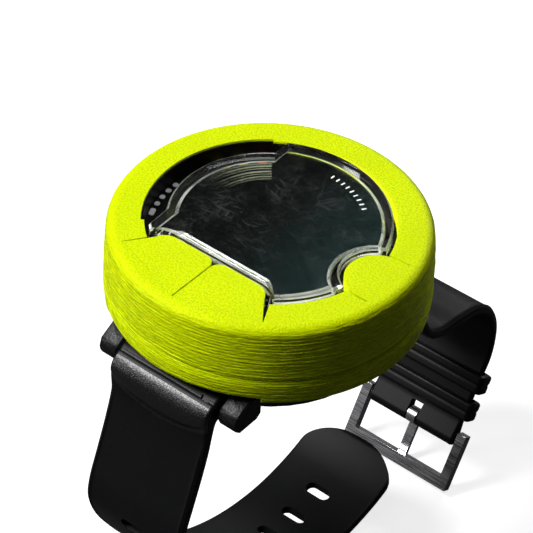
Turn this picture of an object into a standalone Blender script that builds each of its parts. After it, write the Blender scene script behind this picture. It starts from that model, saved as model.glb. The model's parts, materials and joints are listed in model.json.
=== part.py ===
"""Wrist dive computer: a round case with a lime bumper boot, a clear display shield and a rubber strap.

Row frame: the origin is the centre of the flat case back, +Z leaves through the display, +Y points to
12 o'clock along the strap and +X to 3 o'clock. All sizes below are in millimetres and degrees.
"""
import math

import bmesh
import bpy
from mathutils import Matrix, Vector

MM = 0.001
GAP = 0.3
THROUGH = 1.0  # how far a cutter runs past the face it opens
EDGE_BREAK = 0.6

# Heights above the case back
BACK_PLATE_TOP = 2.6
CASE_BOTTOM = 2.9
CAVITY_FLOOR = 8.4
BOARD_STEP_Z = 10.8
CAVITY_ROOF = 18.6
DECK_TOP = 22.6
RIM_TOP = 24.8
LIP_BOTTOM = 25.4
BOOT_TOP = 28.0
SHIELD_TOP = 28.9
SHIELD_ROOF = 26.6
SHIELD_FOOT = 23.7
BOOT_BOTTOM = 9.0
BOOT_LUG_EDGE = 10.4
CREASE_Z = 15.5

# Radii
CASE_R = 30.2
CASE_SHOULDER_Z = 9.5
CASE_FOOT = [(29.4, 6.5), (26.6, CASE_BOTTOM)]
CAVITY_R = 27.4
BOARD_STEP_R = 25.0
FLANGE_R = 21.0
WINDOW_HOLE_R = 17.9
RIM_INNER_R = 27.0
BACK_R = 26.2
BOOT_INNER_R = 30.5
BOOT_TOP_R = 33.5
BOOT_CREASE_R = 34.0
BOOT_BAND_R = 34.25
BOOT_FOOT_R = 33.5
BOOT_ROUND = 2.2
BOOT_OPEN_R = 25.7
BOOT_RECESS_R = 26.4
BOOT_LUG_HALF_ANGLE = 36.5

# Display shield and window outline
SHIELD_R = 24.9
SHIELD_CHORD = -16.8
SHIELD_CORNER = (10.5, 14.3)
SHIELD_CORNER_ANGLE = -50.0
SHIELD_RECESS_R = 21.3
SHIELD_RECESS = (120.5, 126.5, 214.5, 226.5)
SHIELD_SKIRT = 1.6
WINDOW_INSET = 2.0
WINDOW_TOP = 26.3

# Press pads
PAD_HINGE_Z = 26.7
LOWER_PAD_ROOT = 29.3
LOWER_PAD_MID = 162.0
LOWER_PAD_EDGE = 144.0
LOWER_PAD_INNER = -17.1
LOWER_PAD_SHOULDER = 10.4
LOWER_PAD_CORNER = 2.3
SIDE_PAD_CENTRE = (27.2, 0.0)
SIDE_PAD_R = 6.9
SIDE_PAD_ROOT = 29.6
SIDE_NOTCH_R = 7.8

# Push buttons
BUTTONS = {"lower_left": (-8.2, -22.6), "lower_right": (8.2, -22.6), "side": (23.9, 0.0)}
BUTTON_R = 2.6
BUTTON_WELL_R = 2.9
BUTTON_WELL_FLOOR = 20.6
BUTTON_HEAD = [(0.0, 25.1), (1.1, 25.0), (1.9, 24.75), (BUTTON_R, 24.3), (BUTTON_R, 22.5)]
STEM_R = 0.9
STEM_BORE_R = 1.6
STEM_FLANGE = [(1.3, 17.8), (1.3, 17.3), (0.0, 17.3)]
CLIP_RADII = (1.05, 2.2)
CLIP_Z = (17.95, 18.3)
BUTTON_SEAL = (1.25, 0.26, 19.5)
SPRING_R = 2.0
SPRING_WIRE = 0.2
SPRING_Z = (20.9, 22.2)
SPRING_TURNS = 2.25
SWITCH_SIZE = (4.0, 4.0, 4.1)
SWITCH_Z = 14.4

# Strap, its ears and pins
EAR_INNER_X = 13.3
EAR_OUTER_X = 18.3
EAR_PROFILE = [(24.0, 3.2), (24.0, 8.5), (28.2, 8.5), (31.8, 6.5), (32.5, 4.4), (31.6, 2.4), (25.0, 2.4)]
EAR_BEVEL = 0.5
POCKET_Y = 27.0
POCKET_TOP = 9.7
POCKET_DEPTH = 9.0
PIN_Y = 30.2
PIN_Z = 5.2
PIN_R = 0.9
PIN_BORE_R = 1.05
PIN_HALF = 16.2
STRAP_WIDTH = 25.6
STRAP_HALF_T = 1.1
LUG_R = 2.8
LUG_TAPER = 9.0
TAIL_GUIDES = [
    (-30.2, 5.2), (-33.0, 3.0), (-34.0, -3.0), (-36.0, -9.5), (-38.6, -16.5), (-41.0, -23.0),
    (-41.6, -28.0), (-39.6, -34.0), (-35.6, -41.0), (-30.5, -48.5), (-22.5, -58.0), (-11.5, -66.0),
    (2.0, -71.5), (16.0, -73.5), (29.0, -71.8), (40.0, -67.5),
]
BUCKLE_GUIDES = [
    (30.2, 5.2), (33.6, 3.2), (36.4, -4.0), (39.4, -13.0), (42.6, -22.0), (46.4, -28.6), (52.4, -32.2),
    (60.0, -33.6), (67.6, -35.8), (73.0, -40.6), (75.8, -47.6),
]
KEEPER_RUN_START = (75.2, -56.0)
KEEPER_RUN_DIRECTION = (-0.5, -0.866)
KEEPER_RUN = 23.0
KEEPERS = {"strap_keeper_upper": 7.5, "strap_keeper_lower": 15.0}
KEEPER_SIZE = (29.4, 5.0, 5.4)
KEEPER_HOLE = (26.8, 3.4)
EYE_R = 2.1
PRONG_SLOT = 3.4
SLOT_SIZE = (6.5, 3.0)
SLOT_FIRST = 37.0
SLOT_PITCH = 9.5
SLOT_COUNT = 10
BUCKLE_OUTER = (31.4, 15.2, 2.6)
BUCKLE_WINDOW = (26.4, 12.4)
BUCKLE_BACK = 1.9

# Case back, battery and electronics
SCREW_CIRCLE = 23.6
SCREW_ANGLES = (45.0, 135.0, 225.0, 315.0)
SCREW_HEAD_R = 1.6
SCREW_SHANK_R = 0.8
SCREW_Z = (0.2, 1.4, 7.2)
SCREW_SOCKET_TOP = 0.8
THREAD_R = 0.95
THREAD_TOP = 7.7
LOCK_RECESS_R = 18.2
LOCK_RECESS_TOP = 1.0
LOCK_GROOVE_R = 19.1
LOCK_GROOVE_TOP = 2.4
LOCK_TAB = (1.6, 5.0, 0.7)
LOCK_TAB_Z = 1.7
KEY_HOLE_CIRCLE = 16.4
KEY_HOLE_R = 0.8
LID_PLUG_R = 12.5
LID_TOP = 3.6
LID_FLANGE_R = 15.6
LID_FLANGE_Z = (1.3, 2.1)
LID_FACE_R = 13.6
LID_SEAL = (13.3, 0.5, 3.0)
BACK_SEAL = (20.3, 0.5, 4.2)
SPIGOT_R = 19.6
SPIGOT_TOP = 5.5
BATTERY_WELL_R = 14.1
BATTERY_WELL_ROOF = 9.7
BATTERY_WELL_CAP = 0.8
BATTERY_WELL_OUTER_R = 15.2
BATTERY_R = 12.25
BATTERY_Z = (4.2, 9.2)
BOARD_R = 26.6
BOARD_Z = (11.2, 12.2)
SOLDER = 0.15
SENSOR_X = 22.8
SENSOR_R = 1.7
SENSOR_BORE_R = SENSOR_R + GAP
SENSOR_Z = (1.2, 10.8)
COVER_R = 2.3
COVER_Z = (0.1, 0.8)
CONTACT_R = 1.0
CONTACT_BORE_R = CONTACT_R + GAP
CONTACT_PLACES = {"water_contact_upper": (-22.8, 4.0), "water_contact_lower": (-22.8, -4.0)}
ROUND_STEPS = 60
SMALL_STEPS = 16


def clear_scene():
    for obj in list(bpy.data.objects):
        bpy.data.objects.remove(obj, do_unlink=True)


def make_collection(name):
    collection = bpy.data.collections.new(name)
    bpy.context.scene.collection.children.link(collection)
    return collection


clear_scene()
PARTS = make_collection("dive_computer")
TOOLS = make_collection("cutters")


def make_material(name, colour, roughness, metallic=0.0, alpha=1.0):
    material = bpy.data.materials.new(name)
    material.use_nodes = True
    shader = material.node_tree.nodes["Principled BSDF"]
    shader.inputs["Base Color"].default_value = (*colour, 1.0)
    shader.inputs["Roughness"].default_value = roughness
    shader.inputs["Metallic"].default_value = metallic
    shader.inputs["Alpha"].default_value = alpha
    return material


LIME = make_material("boot_lime", (0.70, 0.86, 0.0), 0.6)
CLEAR = make_material("shield_clear", (0.93, 0.95, 0.93), 0.05, 0.0, 0.25)
CRYSTAL = make_material("window_crystal", (0.86, 0.90, 0.92), 0.04, 0.0, 0.3)
CASE_BLACK = make_material("case_black", (0.02, 0.02, 0.022), 0.55)
DIAL_BLACK = make_material("dial_black", (0.012, 0.012, 0.013), 0.4)
RUBBER = make_material("strap_rubber", (0.018, 0.018, 0.02), 0.5)
SEAL = make_material("seal_rubber", (0.03, 0.03, 0.03), 0.7)
STEEL = make_material("steel", (0.55, 0.55, 0.56), 0.3, 1.0)
SPRING_STEEL = make_material("spring_steel", (0.5, 0.5, 0.52), 0.35, 1.0)
BOARD_GREEN = make_material("board_green", (0.02, 0.16, 0.07), 0.45)
CHIP_BLACK = make_material("chip_black", (0.02, 0.02, 0.02), 0.4)
DISPLAY = make_material("display_dark", (0.05, 0.07, 0.075), 0.15)
WHITE_PLASTIC = make_material("white_plastic", (0.8, 0.8, 0.78), 0.5)
BRASS = make_material("brass_contact", (0.7, 0.5, 0.2), 0.3, 1.0)


def place(obj, location):
    obj.location = [value * MM for value in location]
    return obj


def add_object(name, mesh, material):
    """A piece with a material goes with the parts; without one it is a cutter."""
    obj = bpy.data.objects.new(name, mesh)
    if material is None:
        obj.hide_render = True
        obj.display_type = "WIRE"
        TOOLS.objects.link(obj)
    else:
        mesh.materials.append(material)
        PARTS.objects.link(obj)
    return obj


def shade(obj, angle=35.0):
    obj.data.shade_smooth()
    obj.data.set_sharp_from_angle(angle=math.radians(angle))
    return obj


def from_bmesh(name, shape, material):
    mesh = bpy.data.meshes.new(name)
    shape.to_mesh(mesh)
    shape.free()
    return shade(add_object(name, mesh, material))


def disc(name, radius, low, high, material=None, centre=(0.0, 0.0), steps=SMALL_STEPS):
    shape = bmesh.new()
    bmesh.ops.create_cone(
        shape, cap_ends=True, segments=steps, radius1=radius * MM, radius2=radius * MM, depth=(high - low) * MM
    )
    obj = from_bmesh(name, shape, material)
    return place(obj, (centre[0], centre[1], (low + high) / 2))


def rod(name, radius, half_length, centre, material=None, steps=SMALL_STEPS):
    """A cylinder along X."""
    shape = bmesh.new()
    bmesh.ops.create_cone(
        shape, cap_ends=True, segments=steps, radius1=radius * MM, radius2=radius * MM, depth=2 * half_length * MM
    )
    bmesh.ops.rotate(shape, verts=shape.verts, matrix=Matrix.Rotation(math.radians(90), 3, "Y"))
    return place(from_bmesh(name, shape, material), centre)


def block(name, size, centre, material=None, tilt=0.0, offset=(0.0, 0.0, 0.0)):
    """A box of the given size, its middle offset from the origin, which is placed and tilted about X."""
    shape = bmesh.new()
    bmesh.ops.create_cube(shape, size=1.0)
    bmesh.ops.scale(shape, verts=shape.verts, vec=[value * MM for value in size])
    bmesh.ops.translate(shape, verts=shape.verts, vec=[value * MM for value in offset])
    obj = place(from_bmesh(name, shape, material), centre)
    obj.rotation_euler.x = tilt
    return obj


def turned(name, profile, material=None, centre=(0.0, 0.0), steps=ROUND_STEPS, closed=True):
    """A profile of (radius, height) points, running down its outer side, turned about a Z axis."""
    mesh = bpy.data.meshes.new(name)
    edges = [(index, index + 1) for index in range(len(profile) - 1)]
    if closed:
        edges.append((len(profile) - 1, 0))
    mesh.from_pydata([(radius * MM, 0.0, height * MM) for radius, height in profile], edges, [])
    obj = add_object(name, mesh, material)
    screw = obj.modifiers.new("turn", "SCREW")
    screw.steps = steps
    screw.render_steps = steps
    screw.use_merge_vertices = True
    screw.merge_threshold = 0.00001
    screw.use_smooth_shade = True
    return place(obj, (centre[0], centre[1], 0.0))


def ring_seal(name, major, minor, height, material, centre=(0.0, 0.0), steps=20, sides=6):
    angles = [math.radians(90 - 360 * index / sides) for index in range(sides)]
    profile = [(major + minor * math.cos(a), height + minor * math.sin(a)) for a in angles]
    return turned(name, profile, material, centre, steps, True)


def weld_curve(obj, name, material):
    """The curve object's closed surface as a mesh object, its caps welded."""
    bpy.context.view_layer.update()
    graph = bpy.context.evaluated_depsgraph_get()
    mesh = bpy.data.meshes.new_from_object(obj.evaluated_get(graph))
    matrix = obj.matrix_world.copy()
    bpy.data.objects.remove(obj, do_unlink=True)
    shape = bmesh.new()
    shape.from_mesh(mesh)
    bmesh.ops.remove_doubles(shape, verts=shape.verts, dist=0.000001)
    bmesh.ops.recalc_face_normals(shape, faces=shape.faces)
    shape.to_mesh(mesh)
    shape.free()
    mesh.name = name
    mesh.materials.clear()
    welded = shade(add_object(name, mesh, material))
    welded.matrix_world = matrix
    return welded


def curve_object(points, cyclic, dimensions):
    curve = bpy.data.curves.new("guide", "CURVE")
    curve.dimensions = dimensions
    spline = curve.splines.new("POLY")
    spline.points.add(len(points) - 1)
    for spot, point in zip(spline.points, points):
        spot.co = (point[0] * MM, point[1] * MM, point[2] * MM if len(point) > 2 else 0.0, 1.0)
    spline.use_cyclic_u = cyclic
    obj = bpy.data.objects.new("guide", curve)
    PARTS.objects.link(obj)
    return obj


def flat_solid(name, outline, low, high, material=None, origin=(0.0, 0.0, 0.0)):
    """A flat outline between two heights, with the object's origin at the given point."""
    points = [(x - origin[0], y - origin[1]) for x, y in outline]
    guide = curve_object(points, True, "2D")
    guide.data.fill_mode = "BOTH"
    guide.data.extrude = (high - low) / 2 * MM
    obj = weld_curve(guide, name, material)
    obj.data.transform(Matrix.Translation((0.0, 0.0, ((low + high) / 2 - origin[2]) * MM)))
    return place(obj, origin)


def side_solid(name, outline, half_width, material, origin):
    """An outline in Y and Z carried across X, with the object's origin at the given (y, z)."""
    points = [(y - origin[0], z - origin[1]) for y, z in outline]
    guide = curve_object(points, True, "2D")
    guide.data.fill_mode = "BOTH"
    guide.data.extrude = half_width * MM
    obj = weld_curve(guide, name, material)
    turn = Matrix.Rotation(math.radians(90), 4, "Z") @ Matrix.Rotation(math.radians(90), 4, "X")
    obj.data.transform(turn)
    return place(obj, (0.0, origin[0], origin[1]))


def combine(obj, tool, operation):
    boolean = obj.modifiers.new(tool.name, "BOOLEAN")
    boolean.operation = operation
    boolean.solver = "EXACT"
    boolean.object = tool
    if tool.name in PARTS.objects:
        PARTS.objects.unlink(tool)
        TOOLS.objects.link(tool)
    tool.hide_render = True
    tool.display_type = "WIRE"
    return obj


def cut(obj, *tools):
    for tool in tools:
        combine(obj, tool, "DIFFERENCE")
    return obj


def join(obj, *tools):
    for tool in tools:
        combine(obj, tool, "UNION")
    return obj


def arc(centre, radius, start, end, count):
    """Points on a circle between two angles, counted from +X."""
    points = []
    for index in range(count + 1):
        angle = math.radians(start + (end - start) * index / count)
        points.append((centre[0] + radius * math.cos(angle), centre[1] + radius * math.sin(angle)))
    return points


def bend(start, control, end, count):
    """Points on a quadratic curve, without its last point."""
    points = []
    for index in range(count):
        t = index / count
        weights = ((1 - t) ** 2, 2 * t * (1 - t), t * t)
        points.append(tuple(
            weights[0] * start[axis] + weights[1] * control[axis] + weights[2] * end[axis] for axis in (0, 1)
        ))
    return points


def polar(radius, angle):
    return (radius * math.cos(math.radians(angle)), radius * math.sin(math.radians(angle)))


def clock(radius, angle):
    """A point at a clock angle, in degrees clockwise from 12 o'clock."""
    return polar(radius, 90 - angle)


def shield_outline(inset):
    """The display shield's outline, or one drawn inside it: a disc with a chord at 6 o'clock, a round
    notch at 3 o'clock and a recess along the 9 o'clock side."""
    radius = SHIELD_R - inset
    chord = SHIELD_CHORD + inset
    notch = SIDE_NOTCH_R + inset
    recess = SHIELD_RECESS_R - inset
    reach = math.hypot(*SIDE_PAD_CENTRE)
    middle = math.degrees(math.atan2(SIDE_PAD_CENTRE[1], SIDE_PAD_CENTRE[0]))
    spread = math.degrees(math.acos((radius ** 2 + reach ** 2 - notch ** 2) / (2 * radius * reach)))
    low = polar(radius, middle - spread)
    high = polar(radius, middle + spread)
    low_angle = math.degrees(math.atan2(low[1] - SIDE_PAD_CENTRE[1], low[0] - SIDE_PAD_CENTRE[0])) % 360
    high_angle = math.degrees(math.atan2(high[1] - SIDE_PAD_CENTRE[1], high[0] - SIDE_PAD_CENTRE[0])) % 360
    corner = polar(radius, SHIELD_CORNER_ANGLE)
    start = (SHIELD_CORNER[0], chord)
    control = (SHIELD_CORNER[1] - inset, chord)
    points = bend(start, control, corner, 5)
    points += arc((0, 0), radius, SHIELD_CORNER_ANGLE, middle - spread, 8)
    points += arc(SIDE_PAD_CENTRE, notch, low_angle, high_angle, 14)[1:-1]
    points += arc((0, 0), radius, middle + spread, SHIELD_RECESS[0], 22)
    points += arc((0, 0), recess, SHIELD_RECESS[1], SHIELD_RECESS[2], 18)
    points.append(polar(radius, SHIELD_RECESS[3]))
    mirrored = [(-x, y) for x, y in bend(start, control, corner, 5)]
    points += [(-corner[0], corner[1])] + mirrored[::-1]
    return points


def lower_pad_outline(side):
    """One of the two pads at 6 o'clock, side +1 for the right one, seen from above."""
    half = GAP / 2
    out = clock(1.0, LOWER_PAD_MID)
    edge = clock(1.0, LOWER_PAD_EDGE)
    inward = (edge[1] * half, -edge[0] * half)
    root_y = (LOWER_PAD_ROOT - out[0] * half) / out[1]
    corner = (half + LOWER_PAD_CORNER, LOWER_PAD_INNER - LOWER_PAD_CORNER)
    bend_end = (edge[0] * 24.2 + inward[0], edge[1] * 24.2 + inward[1])
    root_r = LOWER_PAD_ROOT / math.cos(math.radians(LOWER_PAD_MID - LOWER_PAD_EDGE))
    points = [(half, root_y)]
    points += arc(corner, LOWER_PAD_CORNER, 180, 90, 5)
    points += bend((LOWER_PAD_SHOULDER, LOWER_PAD_INNER), (13.0, LOWER_PAD_INNER), bend_end, 5)
    points.append(bend_end)
    points.append((edge[0] * root_r + inward[0], edge[1] * root_r + inward[1]))
    return [(side * x, y) for x, y in points]


def lower_pad_room(side):
    """The space cut from the boot for one lower pad; the right one opens as a V towards the display."""
    half = GAP / 2
    out = clock(1.0, LOWER_PAD_MID)
    open_angle = LOWER_PAD_EDGE - (3.0 if side > 0 else 0.7)
    root = LOWER_PAD_ROOT + GAP
    root_r = root / math.cos(math.radians(LOWER_PAD_MID - LOWER_PAD_EDGE))
    points = [(-half, (root + out[0] * half) / out[1]), (-half, -14.0), (13.0, -14.0)]
    points.append(clock(24.0, open_angle))
    points.append(clock(root_r, LOWER_PAD_EDGE - 0.4))
    return [(side * x, y) for x, y in points]


def side_pad_outline(radius, root):
    cx, cy = SIDE_PAD_CENTRE
    points = [(root, cy - radius)]
    points += arc(SIDE_PAD_CENTRE, radius, -90, -270, 18)
    points.append((root, cy + radius))
    return points


def sector(inner, outer, start, end, count):
    """A slice of a ring between two clock angles."""
    points = [clock(outer, start + (end - start) * index / count) for index in range(count + 1)]
    points += [clock(inner, end + (start - end) * index / count) for index in range(count + 1)]
    return points


def build_boot():
    round_centre = (BOOT_TOP_R - BOOT_ROUND, BOOT_TOP - BOOT_ROUND)
    profile = [(BOOT_OPEN_R, BOOT_TOP)] + arc(round_centre, BOOT_ROUND, 90, 0, 5)
    profile += [(BOOT_CREASE_R, CREASE_Z), (BOOT_BAND_R, CREASE_Z - 0.4), (BOOT_FOOT_R, BOOT_BOTTOM)]
    profile += [(BOOT_INNER_R, BOOT_BOTTOM), (BOOT_INNER_R, LIP_BOTTOM), (BOOT_OPEN_R, LIP_BOTTOM)]
    boot = turned("boot", profile, LIME)
    low, high = LIP_BOTTOM - 1.0, BOOT_TOP + 1.0
    for name, side in (("lower_right", 1), ("lower_left", -1)):
        cut(boot, flat_solid(f"room_{name}", lower_pad_room(side), low, high))
    room = side_pad_outline(SIDE_PAD_R + GAP, SIDE_PAD_ROOT + GAP)
    cut(boot, flat_solid("room_side", room, low, high))
    recess = sector(24.0, BOOT_RECESS_R, -131.5, -37.5, 18)
    cut(boot, flat_solid("room_recess", recess, low, high))
    for name, middle in (("twelve", 0.0), ("six", 180.0)):
        start = middle - BOOT_LUG_HALF_ANGLE
        relief = sector(29.0, 36.0, start, middle + BOOT_LUG_HALF_ANGLE, 14)
        cut(boot, flat_solid(f"relief_{name}", relief, BOOT_BOTTOM - 1.0, BOOT_LUG_EDGE))
    return boot


def build_pads():
    for name, side in (("boot_pad_lower_right", 1), ("boot_pad_lower_left", -1)):
        root = clock(LOWER_PAD_ROOT, side * LOWER_PAD_MID)
        flat_solid(name, lower_pad_outline(side), LIP_BOTTOM, BOOT_TOP, LIME, (*root, PAD_HINGE_Z))
    root = (SIDE_PAD_ROOT, SIDE_PAD_CENTRE[1], PAD_HINGE_Z)
    flat_solid("boot_pad_side", side_pad_outline(SIDE_PAD_R, SIDE_PAD_ROOT), LIP_BOTTOM, BOOT_TOP, LIME, root)


def build_shield():
    shield = flat_solid("display_shield", shield_outline(0.0), SHIELD_FOOT, SHIELD_TOP, CLEAR)
    hollow = flat_solid(
        "shield_hollow", shield_outline(SHIELD_SKIRT), SHIELD_FOOT - 1.0, SHIELD_ROOF
    )
    return cut(shield, hollow)


def build_window():
    window = flat_solid(
        "display_window", shield_outline(WINDOW_INSET), DECK_TOP + GAP, WINDOW_TOP, CRYSTAL
    )
    plug = disc("window_plug", WINDOW_HOLE_R - GAP, 20.8, DECK_TOP + 1.0, steps=48)
    return join(window, plug)


def build_dial_ring():
    outline = sector(23.4, 26.7, -136.0, 56.0, 36)
    return flat_solid("dial_ring", outline, DECK_TOP + GAP, DECK_TOP + 0.8, DIAL_BLACK)


def build_case():
    profile = [
        (WINDOW_HOLE_R, DECK_TOP), (RIM_INNER_R, DECK_TOP), (RIM_INNER_R, RIM_TOP),
        (CASE_R - EDGE_BREAK, RIM_TOP), (CASE_R, RIM_TOP - EDGE_BREAK), (CASE_R, CASE_SHOULDER_Z),
        *CASE_FOOT, (FLANGE_R, CASE_BOTTOM),
        (FLANGE_R, CAVITY_FLOOR), (BOARD_STEP_R, CAVITY_FLOOR), (BOARD_STEP_R, BOARD_STEP_Z),
        (CAVITY_R, BOARD_STEP_Z), (CAVITY_R, CAVITY_ROOF), (WINDOW_HOLE_R, CAVITY_ROOF),
    ]
    case = turned("case", profile, CASE_BLACK)
    width = EAR_OUTER_X - EAR_INNER_X
    for end in (1, -1):
        size = (2 * (EAR_INNER_X + GAP), POCKET_DEPTH, POCKET_TOP)
        cut(case, block(f"pocket_{end}", size, (0.0, end * (POCKET_Y + POCKET_DEPTH / 2), POCKET_TOP / 2)))
        for side in (1, -1):
            outline = [(end * y, z) for y, z in EAR_PROFILE]
            ear = side_solid(f"ear_{end}_{side}", outline, width / 2, None, (end * PIN_Y, PIN_Z))
            ear.location.x = side * (EAR_INNER_X + width / 2) * MM
            bevel = ear.modifiers.new("edges", "BEVEL")
            bevel.width = EAR_BEVEL * MM
            bevel.segments = 1
            join(case, ear)
        cut(case, rod(f"pin_bore_{end}", PIN_BORE_R, PIN_HALF + GAP, (0.0, end * PIN_Y, PIN_Z)))
    for name, spot in BUTTONS.items():
        well = disc(f"well_{name}", BUTTON_WELL_R, BUTTON_WELL_FLOOR, DECK_TOP + THROUGH, centre=spot)
        stem = disc(f"stem_bore_{name}", STEM_BORE_R, CAVITY_ROOF - THROUGH, DECK_TOP, centre=spot)
        cut(case, well, stem)
    low, high = CASE_BOTTOM - THROUGH, CAVITY_FLOOR + THROUGH
    for index, angle in enumerate(SCREW_ANGLES):
        spot = polar(SCREW_CIRCLE, angle)
        cut(case, disc(f"screw_thread_{index}", THREAD_R, low, THREAD_TOP, centre=spot, steps=12))
    cut(case, disc("sensor_bore", SENSOR_BORE_R, low, high, centre=(SENSOR_X, 0.0)))
    for name, spot in CONTACT_PLACES.items():
        cut(case, disc(f"{name}_bore", CONTACT_BORE_R, low, high, centre=spot, steps=12))
    return case


def build_case_back():
    """The back plate with its spigot, the battery well inside it and the lid's bayonet groove."""
    well_top = BATTERY_WELL_ROOF + BATTERY_WELL_CAP
    profile = [
        (0.0, well_top), (BATTERY_WELL_OUTER_R, well_top), (BATTERY_WELL_OUTER_R, SPIGOT_TOP),
        (SPIGOT_R, SPIGOT_TOP), (SPIGOT_R, BACK_PLATE_TOP), (BACK_R, BACK_PLATE_TOP),
        (BACK_R, EDGE_BREAK), (BACK_R - EDGE_BREAK, 0.0), (LOCK_RECESS_R, 0.0),
        (LOCK_RECESS_R, LOCK_RECESS_TOP), (LOCK_GROOVE_R, LOCK_RECESS_TOP), (LOCK_GROOVE_R, LOCK_GROOVE_TOP),
        (BATTERY_WELL_R, LOCK_GROOVE_TOP), (BATTERY_WELL_R, BATTERY_WELL_ROOF), (0.0, BATTERY_WELL_ROOF),
    ]
    back = turned("case_back", profile, CASE_BLACK, closed=False, steps=44)
    low, high = -THROUGH, BACK_PLATE_TOP + THROUGH
    head_top = SCREW_Z[1] + GAP
    for index, angle in enumerate(SCREW_ANGLES):
        spot = polar(SCREW_CIRCLE, angle)
        cut(back, disc(f"head_room_{index}", SCREW_HEAD_R + GAP, low, head_top, centre=spot, steps=16))
        cut(back, disc(f"shank_room_{index}", SCREW_SHANK_R + GAP, low, high, centre=spot, steps=12))
    cut(back, disc("cover_room", COVER_R + GAP, low, COVER_Z[1] + GAP, centre=(SENSOR_X, 0.0)))
    cut(back, disc("sensor_room", SENSOR_BORE_R, low, high, centre=(SENSOR_X, 0.0)))
    for name, spot in CONTACT_PLACES.items():
        cut(back, disc(f"{name}_room", CONTACT_BORE_R, low, high, centre=spot, steps=12))
    return back


def build_battery_lid():
    low, high = LID_FLANGE_Z
    profile = [
        (0.0, LID_TOP), (LID_PLUG_R, LID_TOP), (LID_PLUG_R, high), (LID_FLANGE_R, high),
        (LID_FLANGE_R, low), (LID_FACE_R, low), (LID_FACE_R, 0.0), (0.0, 0.0),
    ]
    return turned("battery_lid", profile, CASE_BLACK, closed=False, steps=32)


def build_lock_ring():
    """The bayonet ring that holds the lid: three tabs outside, two key holes in its face."""
    face = 0.1
    step = LID_FLANGE_R + GAP
    outer = LOCK_RECESS_R - GAP
    inner = LID_FACE_R + GAP
    top = LID_FLANGE_Z[1]
    shelf = LID_FLANGE_Z[0] - GAP
    profile = [(step, top), (outer, top), (outer, face), (inner, face), (inner, shelf), (step, shelf)]
    lock = turned("battery_lock_ring", profile, CASE_BLACK, steps=32)
    for index in range(3):
        angle = 90 + 120 * index
        tab = block(f"lock_tab_{index}", LOCK_TAB, (*polar(outer + face, angle), LOCK_TAB_Z))
        tab.rotation_euler.z = math.radians(angle)
        join(lock, tab)
    for index in range(2):
        spot = polar(KEY_HOLE_CIRCLE, 180 * index)
        cut(lock, disc(f"key_hole_{index}", KEY_HOLE_R, -THROUGH, LOCK_TAB[2], centre=spot, steps=12))
    return lock


def build_battery():
    disc("battery", BATTERY_R, *BATTERY_Z, STEEL, steps=28)
    block("battery_contact_minus", (8.0, 3.0, 0.2), (0.0, 0.0, BATTERY_Z[1] + 0.25), BRASS)
    block("battery_contact_plus", (0.3, 5.0, 3.0), (BATTERY_R + 0.9, 0.0, 6.5), BRASS)
    ring_seal("battery_lid_o_ring", *LID_SEAL, SEAL)
    ring_seal("case_back_gasket", *BACK_SEAL, SEAL, steps=24)


def build_case_screws():
    face, head_top, tip = SCREW_Z
    profile = [
        (0.0, tip), (SCREW_SHANK_R, tip), (SCREW_SHANK_R, head_top), (SCREW_HEAD_R, head_top),
        (SCREW_HEAD_R, face), (0.0, face),
    ]
    for index, angle in enumerate(SCREW_ANGLES):
        spot = polar(SCREW_CIRCLE, angle)
        screw = turned(f"case_screw_{index + 1}", profile, STEEL, spot, 12, False)
        cut(screw, disc(f"screw_hex_{index}", 0.8, -THROUGH, SCREW_SOCKET_TOP, centre=spot, steps=6))


def build_electronics():
    """The board and what stands on it; the board's top is the datum for the parts above it."""
    disc("main_board", BOARD_R, *BOARD_Z, BOARD_GREEN, steps=32)
    top = BOARD_Z[1] + SOLDER
    block("microcontroller", (7.0, 7.0, 1.0), (4.0, 6.0, top + 0.5), CHIP_BLACK)
    disc("buzzer", 5.5, top, top + 2.4, BRASS, (-10.0, -2.0), 24)
    block("connector_strip", (20.0, 2.0, 3.9), (0.0, 12.0, top + 1.95), WHITE_PLASTIC)
    disc("light_guide", 17.0, 16.6, 17.6, WHITE_PLASTIC, steps=28)
    disc("lcd_panel", 17.2, 18.0, 20.2, DISPLAY, steps=40)
    holder = [(20.4, 18.2), (20.4, 15.4), (17.4, 15.4), (17.4, 18.2)]
    turned("display_holder", holder, WHITE_PLASTIC, steps=28)
    disc("pressure_sensor", SENSOR_R, *SENSOR_Z, STEEL, (SENSOR_X, 0.0))
    cover = disc("sensor_cover", COVER_R, *COVER_Z, STEEL, (SENSOR_X, 0.0))
    cut(cover, disc("cover_hole", 0.5, -THROUGH, COVER_Z[1] + THROUGH, centre=(SENSOR_X, 0.0), steps=10))
    for name, spot in CONTACT_PLACES.items():
        disc(name, CONTACT_R, COVER_Z[0], SENSOR_Z[1], STEEL, spot, 12)


def build_button(name, spot):
    """A mushroom button with its stem, spring, seal, clip and the switch below it."""
    stem = [(STEM_R, BUTTON_HEAD[-1][1]), (STEM_R, STEM_FLANGE[0][1])]
    turned(f"button_{name}", BUTTON_HEAD + stem + STEM_FLANGE, CASE_BLACK, spot, 12, False)
    ring_seal(f"button_o_ring_{name}", *BUTTON_SEAL, SEAL, spot, 12, 6)
    inner, outer = CLIP_RADII
    low, high = CLIP_Z
    clip = [(outer, high), (outer, low), (inner, low), (inner, high)]
    turned(f"button_clip_{name}", clip, STEEL, spot, 16)
    build_spring(f"button_spring_{name}", spot, SPRING_R, SPRING_WIRE, *SPRING_Z, SPRING_TURNS)
    block(f"switch_{name}", SWITCH_SIZE, (*spot, SWITCH_Z), CHIP_BLACK)


def build_spring(name, spot, radius, wire, low, high, turns):
    """A coil spring of round wire, ten points to a turn."""
    steps = int(turns * 10)
    points = []
    for index in range(steps + 1):
        angle = 2 * math.pi * turns * index / steps
        height = low + (high - low) * index / steps
        points.append((radius * math.cos(angle), radius * math.sin(angle), height))
    guide = curve_object(points, False, "3D")
    guide.data.bevel_depth = wire * MM
    guide.data.bevel_resolution = 0
    guide.data.use_fill_caps = True
    return place(weld_curve(guide, name, SPRING_STEEL), (*spot, 0.0))


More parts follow.
